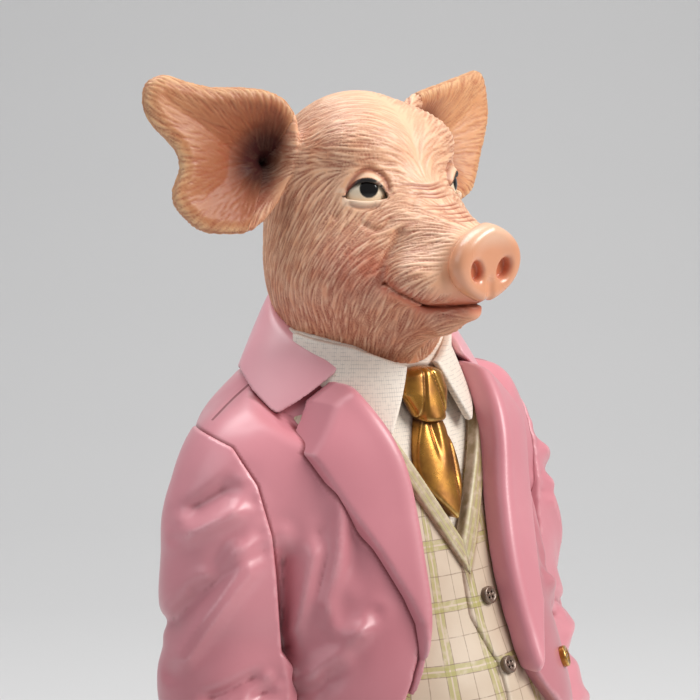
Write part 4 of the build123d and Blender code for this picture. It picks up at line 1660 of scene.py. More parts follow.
    def smooth_zone(self, points: Array) -> Array:
        """Where the carver leaves the skin smooth: lids, lips and snout tip.

        Args:
            points: One place in each row.

        Returns:
            1 where the skin stays smooth, else 0.
        """
        p = Places(*points.T).folded()
        ahead, outer, up = self.eye_local(p)
        globe = np.sqrt(ahead**2 + outer**2 + up**2)
        lids = (1.0 - smooth_step(7.8, 8.8, globe)) * (ahead > 0)
        lips = 1.0 - smooth_step(1.0, 2.0, self.mouth_gap(p))
        tip = smooth_step(-43.5, -45.0, points[:, 1])
        throat = 1.0 - smooth_step(280.0, 283.0, points[:, 2])
        return np.clip(np.maximum.reduce([lids, lips, tip, throat]), 0.0, 1.0)

    def spread_starts(self, points: Array, gap: float, skip: Array, rng: np.random.Generator) -> list[int]:
        """Picks evenly spread points in a chance order.

        Args:
            points: Points to pick from.
            gap: Rough distance between picks.
            skip: Points that are left out, where above a half.
            rng: Seeded chance.

        Returns:
            Indexes of the picks.
        """
        order = rng.permutation(len(points))
        order = order[skip[order] < 0.5]
        cells = np.floor(points[order] / gap).astype(np.int64)
        _, first = np.unique(cells, axis=0, return_index=True)
        return [int(i) for i in order[np.sort(first)]]

    def carve(self, casting: Casting, rng: np.random.Generator) -> Carver:
        """Cuts hair strokes all over the head, and folds across the snout.

        Args:
            casting: The head's surface.
            rng: Seeded chance.

        Returns:
            The carver, with its masks.
        """
        carver = Carver(casting)
        smooth = self.smooth_zone(casting.points)
        middle = np.exp(-((casting.points[:, 0] / 7.0) ** 2))
        depth = (1.0 - smooth) * (1.0 - 0.55 * middle * smooth_step(322.0, 330.0, casting.points[:, 2]))
        for i in self.spread_starts(casting.points, self.hair_gap, smooth, rng):
            sway = rng.normal(0.0, 0.07, 3)
            length = rng.uniform(4.0, 9.0)
            path = carver.trace(casting.points[i], lambda q: self.flow(q) + sway, length, 0.36)
            carver.stroke(path, rng.uniform(0.28, 0.38), rng.uniform(0.6, 1.0) * depth[i])
        for reach in np.arange(-22.0, -43.0, -2.3):
            start = np.array([-9.0 + rng.uniform(-1.0, 1.0), reach, 332.0])
            wave = rng.uniform(0.3, 0.5)
            path = carver.trace(start, lambda q, w=wave: self.ripple(q, w), self.wrinkle_length, 0.4)
            carver.stroke(path, 0.6, 1.0)
        carver.apply(self.stroke_depth, self.stroke_rise)
        return carver

    def paint(self, carver: Carver) -> dict[str, Array]:
        """Paint masks of the head.

        Args:
            carver: The carver after its cuts.

        Returns:
            Masks by name.
        """
        q = carver.casting.points
        p = Places(*q.T).folded()
        ahead, outer, up = self.eye_local(p)
        globe = np.sqrt(ahead**2 + outer**2 + up**2)
        at_eye = (1.0 - smooth_step(8.0, 9.5, globe)) * (ahead > 0)
        top, low = self.lid_lines(outer)
        off = np.abs(outer - self.eye_shift)
        inside = off < self.eye_half_width + 0.8
        thick = 0.45 + 0.6 * np.clip(1.0 - (off / 6.4) ** 2, 0.0, 1.0)
        rise = up - top
        lash = at_eye * inside * (1.0 - smooth_step(thick, thick + 0.25, rise))
        lash = lash * smooth_step(-0.9, -0.5, rise) * (up - low > 0.4)
        rim_low = at_eye * inside * (1.0 - smooth_step(0.8, 1.3, np.abs(up - low + 0.9)))
        lid_top = at_eye * smooth_step(1.2, 1.6, rise) * (1.0 - smooth_step(2.2, 3.0, rise))
        creased = np.maximum.reduce([-crease.height(outer, up) for crease in LID_FOLDS])
        creased = creased * smooth_step(0.0, 3.0, ahead) * (globe < 20.0)
        # Ear cups on the head: dark paint and brown, partly painted shade.
        hollow, brown = np.zeros(len(q)), np.zeros(len(q))
        for side, ear in self.ears.items():
            part = np.nonzero(q[:, 0] * side.value > self.ear_from)[0]
            hollow[part], brown[part] = ear.shade(Places(p.x[part], p.y[part], p.z[part]))
        # Painted highlight on the up-facing bridge and crown.
        turned_up = carver.normals[:, 2]
        bridge = smooth_step(-14.0, -30.0, q[:, 1]) * smooth_step(0.2, 0.8, turned_up)
        crown = smooth_step(332.0, 348.0, q[:, 2]) * smooth_step(0.0, 0.7, turned_up)
        blush = 1.0 - smooth_step(-5.0, 4.0, self.blushed.distance(p))
        # Redder paint low on the head: painted shade on the jowls.
        jowl = 1.0 - smooth_step(298.0, 322.0, q[:, 2])
        line = self.mouth_gap(p)
        mouth = np.exp(-((line / 0.9) ** 2))
        lip = np.exp(-((line / 2.4) ** 2))
        folds = np.clip(creased, 0.0, 1.0)
        pale = np.maximum.reduce([rim_low, lid_top * 0.6, bridge * 0.35, crown * 0.3])
        return {
            "cut": np.maximum.reduce([carver.mask * (1.0 - hollow), mouth * 0.4, folds * 0.8]),
            "rim": carver.ridge * (1.0 - carver.mask) * (1.0 - 0.8 * brown),
            "blush": np.clip(blush * 0.7 + lip * 0.7 + jowl * 0.35, 0.0, 1.0),
            "pale": np.clip(pale, 0.0, 1.0),
            "flush": np.maximum(mouth * 0.5, brown),
            "hollow": hollow,
            "lash": lash,
        }

    def build(self, finishes: Finishes) -> None:
        """Makes the head, the ears and the eyes.

        Args:
            finishes: The figure's materials.
        """
        rng = np.random.default_rng(RNG_SEED)
        casting = sculpt(self.casting, (-42.0, -50.0, 274.0), (42.0, 30.0, 362.0), self.step)
        carver = self.carve(casting, rng)
        head = place_casting("head", carver.casting, self.paint(carver))
        dress(head, finishes.skin, "skin", "head_casting")
        for side in Side:
            self.build_ear(side, finishes, rng)
            self.build_eye(side, finishes)

    def build_ear(self, side: Side, finishes: Finishes, rng: np.random.Generator) -> None:
        """Makes one ear with strokes that run to its rim.

        Args:
            side: Which ear.
            finishes: The figure's materials.
            rng: Seeded chance.
        """
        ear = self.ears[side]
        low, high = (-68.0, -14.0, 306.0), (-22.0, 26.0, 368.0)
        casting = sculpt(lambda p: self.ear_casting(p.mirrored(side)), low, high, 0.4)
        carver = Carver(casting)
        root, along, across, out = ear.axes()
        centre = root + along * ear.centre[0] + across * ear.centre[1] - out * ear.cup * 0.5
        s, t, _ = ear.local(Places(*casting.points.T))
        edge = ear.rim(s, t)
        for i in self.spread_starts(casting.points, self.hair_gap * 1.1, np.zeros(len(s)), rng):
            sway = rng.normal(0.0, 0.1, 3)
            path = carver.trace(
                casting.points[i],
                lambda q: (q - centre) / np.linalg.norm(q - centre) + sway,
                rng.uniform(3.0, 7.0),
                0.4,
            )
            near_rim = float(smooth_step(-9.0, -2.0, edge[i]))
            carver.stroke(path, rng.uniform(0.26, 0.42), rng.uniform(0.3, 0.7) + 0.3 * near_rim)
        carver.apply(0.3, 0.08)
        # Dark cup and brown, partly painted shade.
        hollow, brown = ear.shade(Places(*carver.casting.points.T))
        masks = {
            "cut": carver.mask * (1.0 - hollow),
            "rim": carver.ridge * (1.0 - carver.mask) * (1.0 - 0.8 * brown),
            "blush": np.full(len(s), 0.15),
            "pale": smooth_step(-2.6, -0.6, edge) * 0.5,
            "flush": brown,
            "hollow": hollow,
        }
        done = carver.casting.mirrored() if side is Side.LEFT else carver.casting
        leaf = place_casting(f"{side.word}_ear_leaf", done, masks)
        dress(leaf, finishes.ear, "skin", f"{side.word}_ear")

    def build_eye(self, side: Side, finishes: Finishes) -> None:
        """Makes one eyeball with its painted iris and painted shade under the upper lid.

        Args:
            side: Which eye.
            finishes: The figure's materials.
        """
        def globe(p: Places) -> Array:
            """The eyeball with a slight bulge over the iris."""
            ahead, outer, up = self.eye_local(p)
            cornea = np.sqrt((ahead - 2.5) ** 2 + (outer + 1.0) ** 2 + (up - 0.2) ** 2) - 4.2
            return soft_join(np.sqrt(ahead**2 + outer**2 + up**2) - self.eye_radius + 0.05, cornea, 1.0)

        reach = self.eye_radius + 2.0
        low = tuple(c - reach for c in self.eye)
        high = tuple(c + reach for c in self.eye)
        casting = sculpt(globe, low, high, 0.25)
        ahead, outer, up = self.eye_local(Places(*casting.points.T))
        ring = np.hypot(outer + 1.05, up - 0.25)
        top, _ = self.lid_lines(outer)
        # Painted shade on the eyeball under the upper lid.
        shade = smooth_step(-1.3, 0.2, up - top) * (ahead > 0)
        masks = {
            "iris": (1.0 - smooth_step(2.3, 2.55, ring)) * (ahead > 0),
            "cut": shade * 0.7,
        }
        done = casting.mirrored() if side is Side.LEFT else casting
        eye = place_casting(f"{side.word}_eyeball", done, masks)
        dress(eye, finishes.eye, "eye", f"{side.word}_eye")


@dataclass
class SnoutPad:
    """The flat disc at the end of the snout, with its nostrils."""

    centre: Triple = (0.0, -47.6, 313.9)
    upturn_deg: float = -5.0
    half_width: float = 10.9
    half_height: float = 10.2
    thick: float = 5.0
    nostril_x: float = 4.8
    nostril_up: float = -1.5
    nostril_half: tuple[float, float] = (2.1, 2.5)

    def local(self, p: Places) -> tuple[Array, Array, Array]:
        """Places across, up and out of the disc.

        Args:
            p: Sample places.

        Returns:
            The three measures.
        """
        turn = math.radians(self.upturn_deg)
        y, z = p.y - self.centre[1], p.z - self.centre[2]
        out = -y * math.cos(turn) + z * math.sin(turn)
        up = y * math.sin(turn) + z * math.cos(turn)
        return p.x, up, out

    def nostril(self, x: Array, up: Array) -> Array:
        """Distance from the nearer nostril's middle, 1 at its edge."""
        lean = np.abs(x) - self.nostril_x - 0.18 * (up - self.nostril_up)
        return np.hypot(lean / self.nostril_half[0], (up - self.nostril_up) / self.nostril_half[1])

    def distance(self, p: Places) -> Array:
        """Signed distance to the pad.

        Args:
            p: Sample places.

        Returns:
            The distance.
        """
        x, up, out = self.local(p)
        bulge = 1.0 + 0.05 * np.cos(np.arctan2(up, np.abs(x)) * 3.0)
        edge = (np.sqrt((x / self.half_width) ** 2 + (up / self.half_height) ** 2) / bulge - 1.0) * 10.2
        brim = 0.5 * smooth_step(4.0, 8.5, np.hypot(x, up))
        slab = np.abs(out) - self.thick / 2 - brim
        pad = soft_meet(edge, slab, 3.0)
        hole = np.maximum((self.nostril(x, up) - 1.0) * 2.0, -out)
        pad = soft_cut(pad, hole, 1.5)
        groove = np.hypot(x, out - self.thick * 0.62) - 0.9 + 3.4 * smooth_step(-5.0, 1.0, up)
        pad = soft_cut(pad, groove, 1.4)
        notch = np.hypot(x, up + self.half_height + 0.3) - 0.9
        return soft_cut(pad, notch, 1.4)

    def build(self, finishes: Finishes) -> None:
        """Makes the pad.

        Args:
            finishes: The figure's materials.
        """
        x, y, z = self.centre
        casting = sculpt(self.distance, (-14.0, y - 7.0, z - 13.0), (14.0, y + 6.0, z + 13.0), 0.28)
        across, up, out = self.local(Places(*casting.points.T))
        hole = self.nostril(across, up)
        deep = (1.0 - smooth_step(0.5, 1.1, hole)) * (1.0 - smooth_step(-0.6, 1.6, out))
        ring = (1.0 - smooth_step(0.9, 1.6, hole)) * 0.5
        masks = {
            "cut": np.clip(deep * 0.55, 0.0, 1.0),
            "blush": np.clip(ring + casting.relief() * 2.0, 0.0, 1.0),
            # Painted highlight along the top of the disc.
            "pale": smooth_step(3.0, 9.0, up) * 0.5,
        }
        pad = place_casting("snout_disc", casting, masks)
        dress(pad, finishes.snout, "snout", "snout_pad")


@dataclass(frozen=True)
class Folds:
    """The folds of one piece of cloth, on the half that faces the plane."""

    folds: Sequence[Fold]
    behind: float

    def share(self, away: Array) -> Array:
        """1 on the facing half, 0 behind it."""
        return 1.0 - smooth_step(self.behind - 3.0, self.behind + 6.0, away)

    def press(self, p: Places, cloth: Array) -> Array:
        """Lifts and sinks a cloth field.

        Args:
            p: Sample places in the right side's frame.
            cloth: The field before its folds.

        Returns:
            The field with folds.
        """
        across, up, away = facing(p)
        total = sum(fold.height(across, up) for fold in self.folds)
        return cloth - total * self.share(away)


LEG_LEVELS = (20.0, 22.0, 70.0, 98.0, 130.0, 150.0)
LEG_CREASES = ((40.0, 0.5, 0.9), (48.0, -0.4, 0.7), (74.0, 0.35, 0.9), (82.0, -0.3, 0.7))
VEST_SLOPE = {Side.RIGHT: 1.95, Side.LEFT: 1.55}
VEST_LAP_LEVELS = (140.0, 200.0, 209.0, 213.0, 222.0, 231.0, 242.0)
VEST_LAP = (3.0, 1.9, 2.6, 0.7, -2.5, -1.7, 0.0)
LAPEL_LEVELS = (204.0, 215.0, 223.6, 230.0, 242.0, 256.0, 266.5)
LAPEL_EDGE = (-28.4, -22.8, -22.2, -23.6, -27.8, -34.2, -38.6)
SHOULDER_SEAM = Fold(((-26.3, -7.0), (-32.4, -12.4), (-37.6, -18.0)), -0.25, 0.6)
SLEEVE_FOLDS = Folds((
    Fold(((-47.0, -48.2), (-34.8, -42.4), (-26.0, -38.0)), 2.2, 2.4),
    Fold(((-42.0, -60.4), (-32.5, -52.6), (-24.5, -46.0)), 2.2, 2.4),
    Fold(((-48.0, -82.5), (-34.8, -63.8), (-24.0, -50.0)), 2.7, 3.0),
    Fold(((-46.0, -43.0), (-37.0, -37.5), (-29.0, -32.0)), -2.3, 2.6),
    Fold(((-52.0, -74.0), (-40.4, -62.3), (-31.0, -49.0)), -2.7, 3.0),
    Fold(((-41.2, -88.8), (-34.1, -86.5), (-26.9, -82.9), (-22.6, -82.2)), -2.0, 2.0),
    Fold(((-29.2, -88.5), (-19.8, -85.0)), -1.6, 1.9),
    Fold(((-44.0, -96.0), (-32.0, -93.0), (-20.0, -94.0)), 1.8, 2.6),
    Fold(((-42.0, -104.0), (-28.0, -100.0), (-14.0, -104.0)), -1.6, 2.2),
    Fold(((-30.0, -114.0), (-18.0, -110.0), (-8.0, -113.0)), 1.2, 2.2),
), -33.0)
CHEST_FOLDS = Folds((
    Fold(((-6.8, -30.0), (-4.6, -40.0), (-4.8, -51.4), (-7.4, -62.0), (-8.6, -71.0)), 1.9, 2.4),
    Fold(((-9.6, -66.0), (-5.4, -70.5), (0.6, -70.0), (4.2, -66.0)), 1.3, 2.6),
    Fold(((5.0, -66.0), (-2.0, -73.5), (-8.9, -79.7), (-15.6, -87.2)), 2.0, 2.8),
    Fold(((-10.0, -46.0), (-12.0, -56.2), (-14.6, -65.4), (-18.5, -76.0)), 1.7, 2.4),
    Fold(((-1.0, -40.0), (-0.8, -52.4), (-1.6, -62.0)), -1.4, 3.2),
    Fold(((-8.6, -38.0), (-8.8, -52.0), (-10.6, -64.0)), -0.7, 3.0),
    Fold(((-19.0, -46.0), (-19.6, -59.2), (-19.0, -74.0), (-18.0, -84.0)), -3.2, 3.4),
    Fold(((-3.0, -78.0), (-9.0, -84.0), (-14.0, -92.0)), -1.9, 3.0),
), -4.0)


@dataclass
class Suit:
    """Jacket, vest, shirt, tie, sleeves and trousers."""

    torso: TorsoForm = field(default_factory=TorsoForm)
    vest_out: float = 2.7
    jacket_out: float = 8.9
    lapel_out: float = 11.6
    step: float = 0.75
    plaid_radius: float = 46.0
    right_edge: Profile = field(default_factory=lambda: Profile(
        (120.0, 172.0, 190.0, 208.0, 222.0, 240.0, 262.0, 284.0),
        (-54.0, -52.0, -38.0, -25.5, -19.0, -16.5, -16.5, -23.0),
    ))
    left_edge: Profile = field(default_factory=lambda: Profile(
        (120.0, 172.0, 190.0, 206.0, 218.0, 233.0, 249.0, 262.0, 284.0),
        (54.0, 44.0, 24.0, 10.0, 9.0, 9.0, 12.0, 16.0, 22.0),
    ))
    arm: Sequence[Triple] = (
        (-42.5, -1.8, 256.0), (-45.3, -2.0, 245.0), (-47.6, -3.6, 228.0), (-50.4, -6.3, 204.0),
        (-50.5, -14.0, 184.0), (-49.0, -22.0, 171.0), (-44.0, -35.0, 154.0),
    )
    arm_radii: Sequence[float] = (16.8, 16.6, 16.6, 16.6, 15.5, 14.2, 12.5)
    armhole: Sequence[tuple[float, float]] = (
        (-90.0, -4.0), (-60.0, -12.0), (-43.7, -19.1), (-31.8, -24.7), (-25.4, -34.2), (-21.8, -46.9),
        (-20.8, -57.4), (-19.5, -76.5), (-14.0, -84.0), (20.0, -92.0), (20.0, -170.0), (-90.0, -170.0),
    )
    cuff_radius: float = 10.6
    fist: Triple = (-37.0, -33.5, 139.0)
    fist_radii: Triple = (11.0, 11.0, 14.0)
    cuff_reach: float = 7.0
    hem: float = 122.5
    lining_out: float = 4.9
    lining_top: float = 172.0
    vent_top: float = 152.0
    waist: float = 171.0
    leg_top: float = 150.0
    leg_y: float = -6.0
    leg_half_width: Profile = field(
        default_factory=lambda: Profile(LEG_LEVELS, (17.5, 17.5, 18.0, 19.8, 19.8, 19.0))
    )
    leg_half_depth: Profile = field(
        default_factory=lambda: Profile(LEG_LEVELS, (20.5, 20.5, 20.0, 27.5, 31.0, 30.0))
    )
    leg_middle: Profile = field(
        default_factory=lambda: Profile(LEG_LEVELS, (22.5, 22.5, 22.5, 20.5, 20.5, 20.5))
    )
    vest_neck: float = 240.0
    vest_middle: float = 0.5
    vest_hem: float = 142.5
    vest_point: float = 9.0
    vest_half_span: float = 33.0
    vest_underlap: float = 2.5
    vest_band: float = 9.0
    vest_band_reach: float = 22.0
    lapel_foot: dict[Side, float] = field(
        default_factory=lambda: {Side.RIGHT: 202.0, Side.LEFT: 206.0}
    )
    gorge_x: float = 22.6
    gorge_slope: float = 0.70
    far_shoulder: Rod = Rod((30.0, -4.0, 275.5), (43.0, -3.0, 270.0), 8.0, 8.0, 8.0)
    neckline: float = 284.2
    collar_low: float = 284.6
    collar_turn: float = 10.7
    collar_back_drop: float = 3.0
    collar_top: float = 293.0
    collar_rise: float = 0.448
    collar_far_lift: float = 3.2
    collar_half_width: float = 37.2
    collar_half_depths: tuple[float, float] = (31.0, 30.0)
    collar_half_thick: float = 1.7
    shirt_low: float = 215.0
    shirt_top: float = 283.0
    neck_radius: float = 23.4
    band_low: float = 276.0
    band_top: float = 293.4
    leaf_radius: float = 24.0
    leaf_roll: float = 287.0
    leaf_corners: Sequence[tuple[float, float]] = (
        (-5.0, 285.0), (-11.0, 268.6), (-22.0, 277.0), (-36.0, 287.0), (-36.0, 293.2), (-19.3, 290.5),
    )
    knot_low: float = 271.0
    knot_height: float = 12.5
    knot_top: float = 284.2
    knot_half_depth: float = 4.4
    knot_half_widths: Sequence[float] = (3.8, 4.6, 7.8, 6.8, 5.6)
    blade_right: Sequence[tuple[float, float]] = (
        (-3.2, 271.5), (-5.6, 266.0), (-7.2, 260.0), (-6.2, 254.0), (0.6, 245.6),
    )
    blade_left: Sequence[tuple[float, float]] = (
        (0.6, 245.6), (6.4, 254.0), (7.2, 260.0), (5.6, 266.0), (3.4, 271.5),
    )
    seat_low: float = 119.0
    turnup_low: float = 22.3

    def front_gap(self, p: Places) -> Array:
        """The open front of the jacket, negative inside."""
        right = self.right_edge.at(p.z) - 1.2 - p.x
        left = p.x - self.left_edge.at(p.z) - 1.2
        return np.maximum(np.maximum(right, left) * 0.9, p.y - 2.0)

    def sleeve(self, p: Places) -> Array:
        """Signed distance to the right sleeve.

        Args:
            p: Sample places.

        Returns:
            Signed distance.
        """
        tube = chain(p, self.arm, self.arm_radii, 7.0)
        cloth = soft_join(tube, self.torso.distance(p, self.jacket_out), 10.0)
        cloth = np.maximum(SLEEVE_FOLDS.press(p, cloth) - 0.4, tube - 2.6)
        across, up, _ = facing(p)
        cloth = soft_meet(cloth, outline(across, up, np.array(self.armhole)), 0.5)
        wrist = self.wrist_local(p)
        hollow = np.maximum(wrist[1] - self.cuff_radius - 0.1, -5.0 - wrist[0])
        return soft_cut(soft_meet(cloth, wrist[0] - 0.2, 1.0), hollow, 0.6)

    def sleeves(self, p: Places) -> Array:
        """Signed distance to both sleeves."""
        return self.sleeve(p.folded())

    def wrist_local(self, p: Places) -> tuple[Array, Array]:
        """Places along the right forearm beyond the wrist, and their distance from its axis.

        Args:
            p: Sample places.

        Returns:
            Both measures.
        """
        end = np.array(self.arm[-1])
        way = end - np.array(self.arm[-2])
        way /= np.linalg.norm(way)
        rel = (p.x - end[0], p.y - end[1], p.z - end[2])
        along = sum(r * float(w) for r, w in zip(rel, way))
        off = sum((r - along * float(w)) ** 2 for r, w in zip(rel, way))
        return along, np.sqrt(off)

    def cuff(self, p: Places) -> Array:
        """Signed distance to the right shirt cuff, with a rolled edge and a stitched line.

        Args:
            p: Sample places.

        Returns:
            Signed distance.
        """
        along, off = self.wrist_local(p)
        roll = 0.35 * np.exp(-(((along - self.cuff_reach + 1.4) / 1.2) ** 2))
        line = 0.25 * np.exp(-(((along - self.cuff_reach + 3.4) / 0.45) ** 2))
        wall = off - self.cuff_radius - roll + line
        return soft_meet(wall, np.maximum(along - self.cuff_reach, -6.0 - along), 1.0)

    def shoulder(self, p: Places) -> Array:
        """The jacket's own cloth under the head of the right sleeve."""
        stub = chain(p, self.arm[:4], [r - 0.2 for r in self.arm_radii[:4]], 7.0)
        return soft_meet(SLEEVE_FOLDS.press(p, stub), 208.0 - p.z, 10.0)

    def jacket(self, p: Places) -> Array:
        """Signed distance to the jacket's body.

        Args:
            p: Sample places.

        Returns:
            Signed distance.
        """
        folded = p.folded()
        cloth = self.torso.distance(p, self.jacket_out)
        cloth = soft_join(cloth, self.shoulder(folded), 10.0)
        cloth = self.far_shoulder.onto(p, cloth)
        cloth = CHEST_FOLDS.press(folded, cloth)
        across, up, away = facing(folded)
        cloth = cloth - SHOULDER_SEAM.height(across, up) * CHEST_FOLDS.share(away)
        cloth = cloth + 0.6 * np.exp(-((p.x / 0.7) ** 2)) * smooth_step(6.0, 12.0, p.y)
        cone, low, _ = self.collar_cone(p)
        under = np.minimum(cone + 2.3, (p.z - low) * 0.9 - 0.3 * np.maximum(cone, 0.0))
        cloth = soft_meet(soft_meet(cloth, p.z - self.neckline, 2.0), under, 2.0)
        cloth = soft_meet(cloth, self.hem - p.z, 1.2)
        front = np.maximum(self.front_gap(p), -self.torso.distance(p, -6.0))
        cloth = soft_cut(cloth, front, 1.6)
        lining = np.maximum(self.torso.distance(p, self.lining_out), p.z - self.lining_top)
        cloth = soft_cut(cloth, lining, 1.0)
        vent = np.maximum(np.abs(p.x) - 0.5, np.maximum(p.z - self.vent_top, 6.0 - p.y))
        return soft_cut(cloth, vent, 0.5)

    def lapel(self, p: Places, side: Side) -> Array:
        """Signed distance to one lapel, in the right side's frame.

        Args:
            p: Sample places.
            side: Which side.

        Returns:
            Signed distance.
        """
        fold = self.right_edge if side is Side.RIGHT else self.left_edge
        base = self.lapel_foot[side]
        inner = -side.value * fold.at(p.z)
        outer = np.interp(p.z, LAPEL_LEVELS, LAPEL_EDGE)
        if side is Side.LEFT:
            outer = np.maximum(outer, -10.0 - 0.75 * (p.z - base))
        gorge = (p.z - 282.3) - (p.x + self.gorge_x) * self.gorge_slope
        peak = (p.z - 275.0) - (p.x + 31.4) * 1.27
        top = np.maximum(gorge * 0.82, peak * 0.62)
        flat = np.maximum((outer - p.x) * 0.9, np.maximum(top, base - p.z))
        roll = np.exp(-(((p.x - inner) / 5.0) ** 2)) * 1.1
        sheet = self.torso.distance(p, self.lapel_out) - roll
        sheet = soft_meet(sheet, (p.x - inner) * 0.9, 5.0)
        sheet = soft_meet(sheet, -self.torso.distance(p, 4.0), 0.4)
        return soft_meet(soft_meet(sheet, flat, 1.2), p.y, 0.5)

    def collar_cone(self, p: Places) -> tuple[Array, Array, Array]:
        """The collar's outer face as a field, and the heights of its low and top edges.

        Args:
            p: Sample places.

        Returns:
            The field and both heights.
        """
        low = self.collar_low - 1.12 * np.logaddexp(0.0, (self.collar_turn - p.y) / 2.0)
        low = low - self.collar_back_drop * smooth_step(8.0, 18.0, p.y)
        far = smooth_step(5.0, 20.0, p.x)
        lift = self.collar_far_lift * far
        top = self.collar_top + self.collar_rise * p.y + lift * smooth_step(10.0, -8.0, p.y)
        t = np.clip((p.z - low) / np.maximum(top - low, 4.0), -0.3, 1.3)
        wide = self.collar_half_width - 12.7 * t + 3.0 * t * (1.0 - t) + lift
        middle = -3.0 + 2.0 * t
        ahead, behind = self.collar_half_depths
        deep = np.where(p.y < middle, ahead - 6.5 * t, behind - 4.8 * t) + 1.5 * t * (1.0 - t)
        reach = np.sqrt((p.x / wide) ** 2 + ((p.y - middle) / deep) ** 2)
        return (reach - 1.0) * np.minimum(wide, deep) * 0.85, low, top

    def collar(self, p: Places) -> Array:
        """Signed distance to the turned-down jacket collar.

        Args:
            p: Sample places.

        Returns:
            Signed distance.
        """
        x = np.abs(p.x)
        cone, low, top = self.collar_cone(p)
        band = np.abs(cone + self.collar_half_thick) - self.collar_half_thick
        band = soft_meet(band, (p.z - top) * 0.9, 1.6)
        band = soft_meet(band, (low - p.z) * 0.8, 0.6)
        gorge = 283.2 + (self.gorge_x - x) * self.gorge_slope - p.z
        front = np.where(p.y < 0, gorge * 0.82, -20.0)
        band = soft_meet(band, front, 0.8)
        return soft_cut(band, np.maximum(x - 20.0, p.y + 4.0), 1.0)

    def vest(self, p: Places, side: Side) -> Array:
        """Signed distance to one vest front.

        Args:
            p: Sample places.
            side: Which side.

        Returns:
            Signed distance.
        """
        raise_over = 1.0 if side is Side.LEFT else 0.0
        cloth = self.torso.distance(p, self.vest_out) - raise_over
        cloth = soft_meet(cloth, -self.torso.distance(p, -1.0), 0.4)
        lap = np.interp(p.z, VEST_LAP_LEVELS, VEST_LAP)
        slope = np.where(p.x < 0, VEST_SLOPE[Side.RIGHT], VEST_SLOPE[Side.LEFT])
        neck = self.vest_neck + np.abs(p.x - self.vest_middle) * slope
        if side is Side.LEFT:
            edge = lap - p.x
        else:
            edge = p.x - (lap + self.vest_underlap)
        flat = np.maximum(edge, (p.z - neck) * 0.5)
        hem = self.vest_hem + 0.45 * np.abs(np.abs(p.x) - self.vest_point)
        flat = np.maximum(flat, hem - p.z)
        flat = np.maximum(flat, np.abs(p.x) - self.vest_half_span)
        return soft_meet(soft_meet(cloth, flat, 0.9), p.y - 2.0, 0.5)

    def band_rise(self, x: Array, z: Array, side: Side) -> Array:
        """Height above the edge of the vest's neck, in the right side's frame."""
        return z - self.vest_neck + (x - self.vest_middle) * VEST_SLOPE[side]

    def vest_lapel(self, p: Places, side: Side) -> Array:
        """Signed distance to the band along one side of the vest's neck.

        Args:
            p: Sample places.
            side: Which side.

        Returns:
            Signed distance.
        """
        x = p.x if side is Side.RIGHT else -p.x
        cloth = self.torso.distance(p, self.vest_out + 1.9)
        cloth = soft_meet(cloth, -self.torso.distance(p, 1.0), 0.4)
        rise = self.band_rise(x, p.z, side)
        flat = np.maximum(rise * 0.5, -(rise + self.vest_band) * 0.5)
        flat = np.maximum(flat, np.maximum(x - 0.2, -self.vest_band_reach - x))
        return soft_meet(soft_meet(cloth, flat, 0.8), p.y, 0.5)

    def shirt(self, p: Places) -> Array:
        """Signed distance to the shirt front on the torso."""
        body = self.torso.distance(p, 0.2)
        return soft_meet(soft_meet(body, p.z - self.shirt_top, 1.0), self.shirt_low - p.z, 1.0)

    def band(self, p: Places) -> Array:
        """Signed distance to the shirt's neck band, which dips at the throat.

        Args:
            p: Sample places.

        Returns:
            Signed distance.
        """
        front = np.minimum(p.y, 0.0)
        top = self.band_top - 0.0113 * front**2 - 0.55 * np.maximum(-16.0 - p.y, 0.0)
        top = top + 0.25 * np.maximum(p.y, 0.0)
        radius = self.neck_radius
        ring = (np.sqrt((p.x / radius) ** 2 + (p.y / radius) ** 2) - 1.0) * radius
        wall = np.abs(ring + 1.0) - 1.1
        return soft_meet(soft_meet(wall, p.z - top, 0.8), self.band_low - p.z, 0.5)

    def leaf(self, p: Places) -> Array:
        """Signed distance to the right leaf of the shirt collar, which wraps the neck and flares.

        Args:
            p: Sample places.

        Returns:
            Signed distance.
        """
        around = self.leaf_radius * np.arctan2(p.x, -p.y)
        flat = outline(around, p.z, np.array(self.leaf_corners))
        flare = self.leaf_radius + 0.42 * np.maximum(self.leaf_roll - p.z, 0.0)
        sheet = np.abs(np.hypot(p.x, p.y) - flare) * 0.9 - 1.1
        return soft_meet(sheet, flat, 0.8)

    def knot(self, p: Places) -> Array:
        """Signed distance to the tie's knot.

        Args:
            p: Sample places.

        Returns:
            Signed distance.
        """
        t = np.clip((p.z - self.knot_low) / self.knot_height, -0.2, 1.2)
        half = np.interp(t, (-0.2, 0.0, 0.55, 1.0, 1.2), self.knot_half_widths)
        front = 31.6 - 4.2 * t
        body = np.sqrt((p.x / half) ** 2 + ((p.y + front - 3.8) / self.knot_half_depth) ** 2) - 1.0
        body = body * np.minimum(half, self.knot_half_depth) * 0.8
        for place, lean in ((-3.0, 0.22), (2.6, -0.26)):
            crease = np.exp(-(((p.x - place - lean * (p.z - 277.0)) / 0.55) ** 2))
            body = body + 0.45 * crease
        body = soft_meet(body, (p.z - self.knot_top) + 0.02 * p.x**2, 1.6)
        return soft_meet(body, 270.6 - p.z, 1.2)

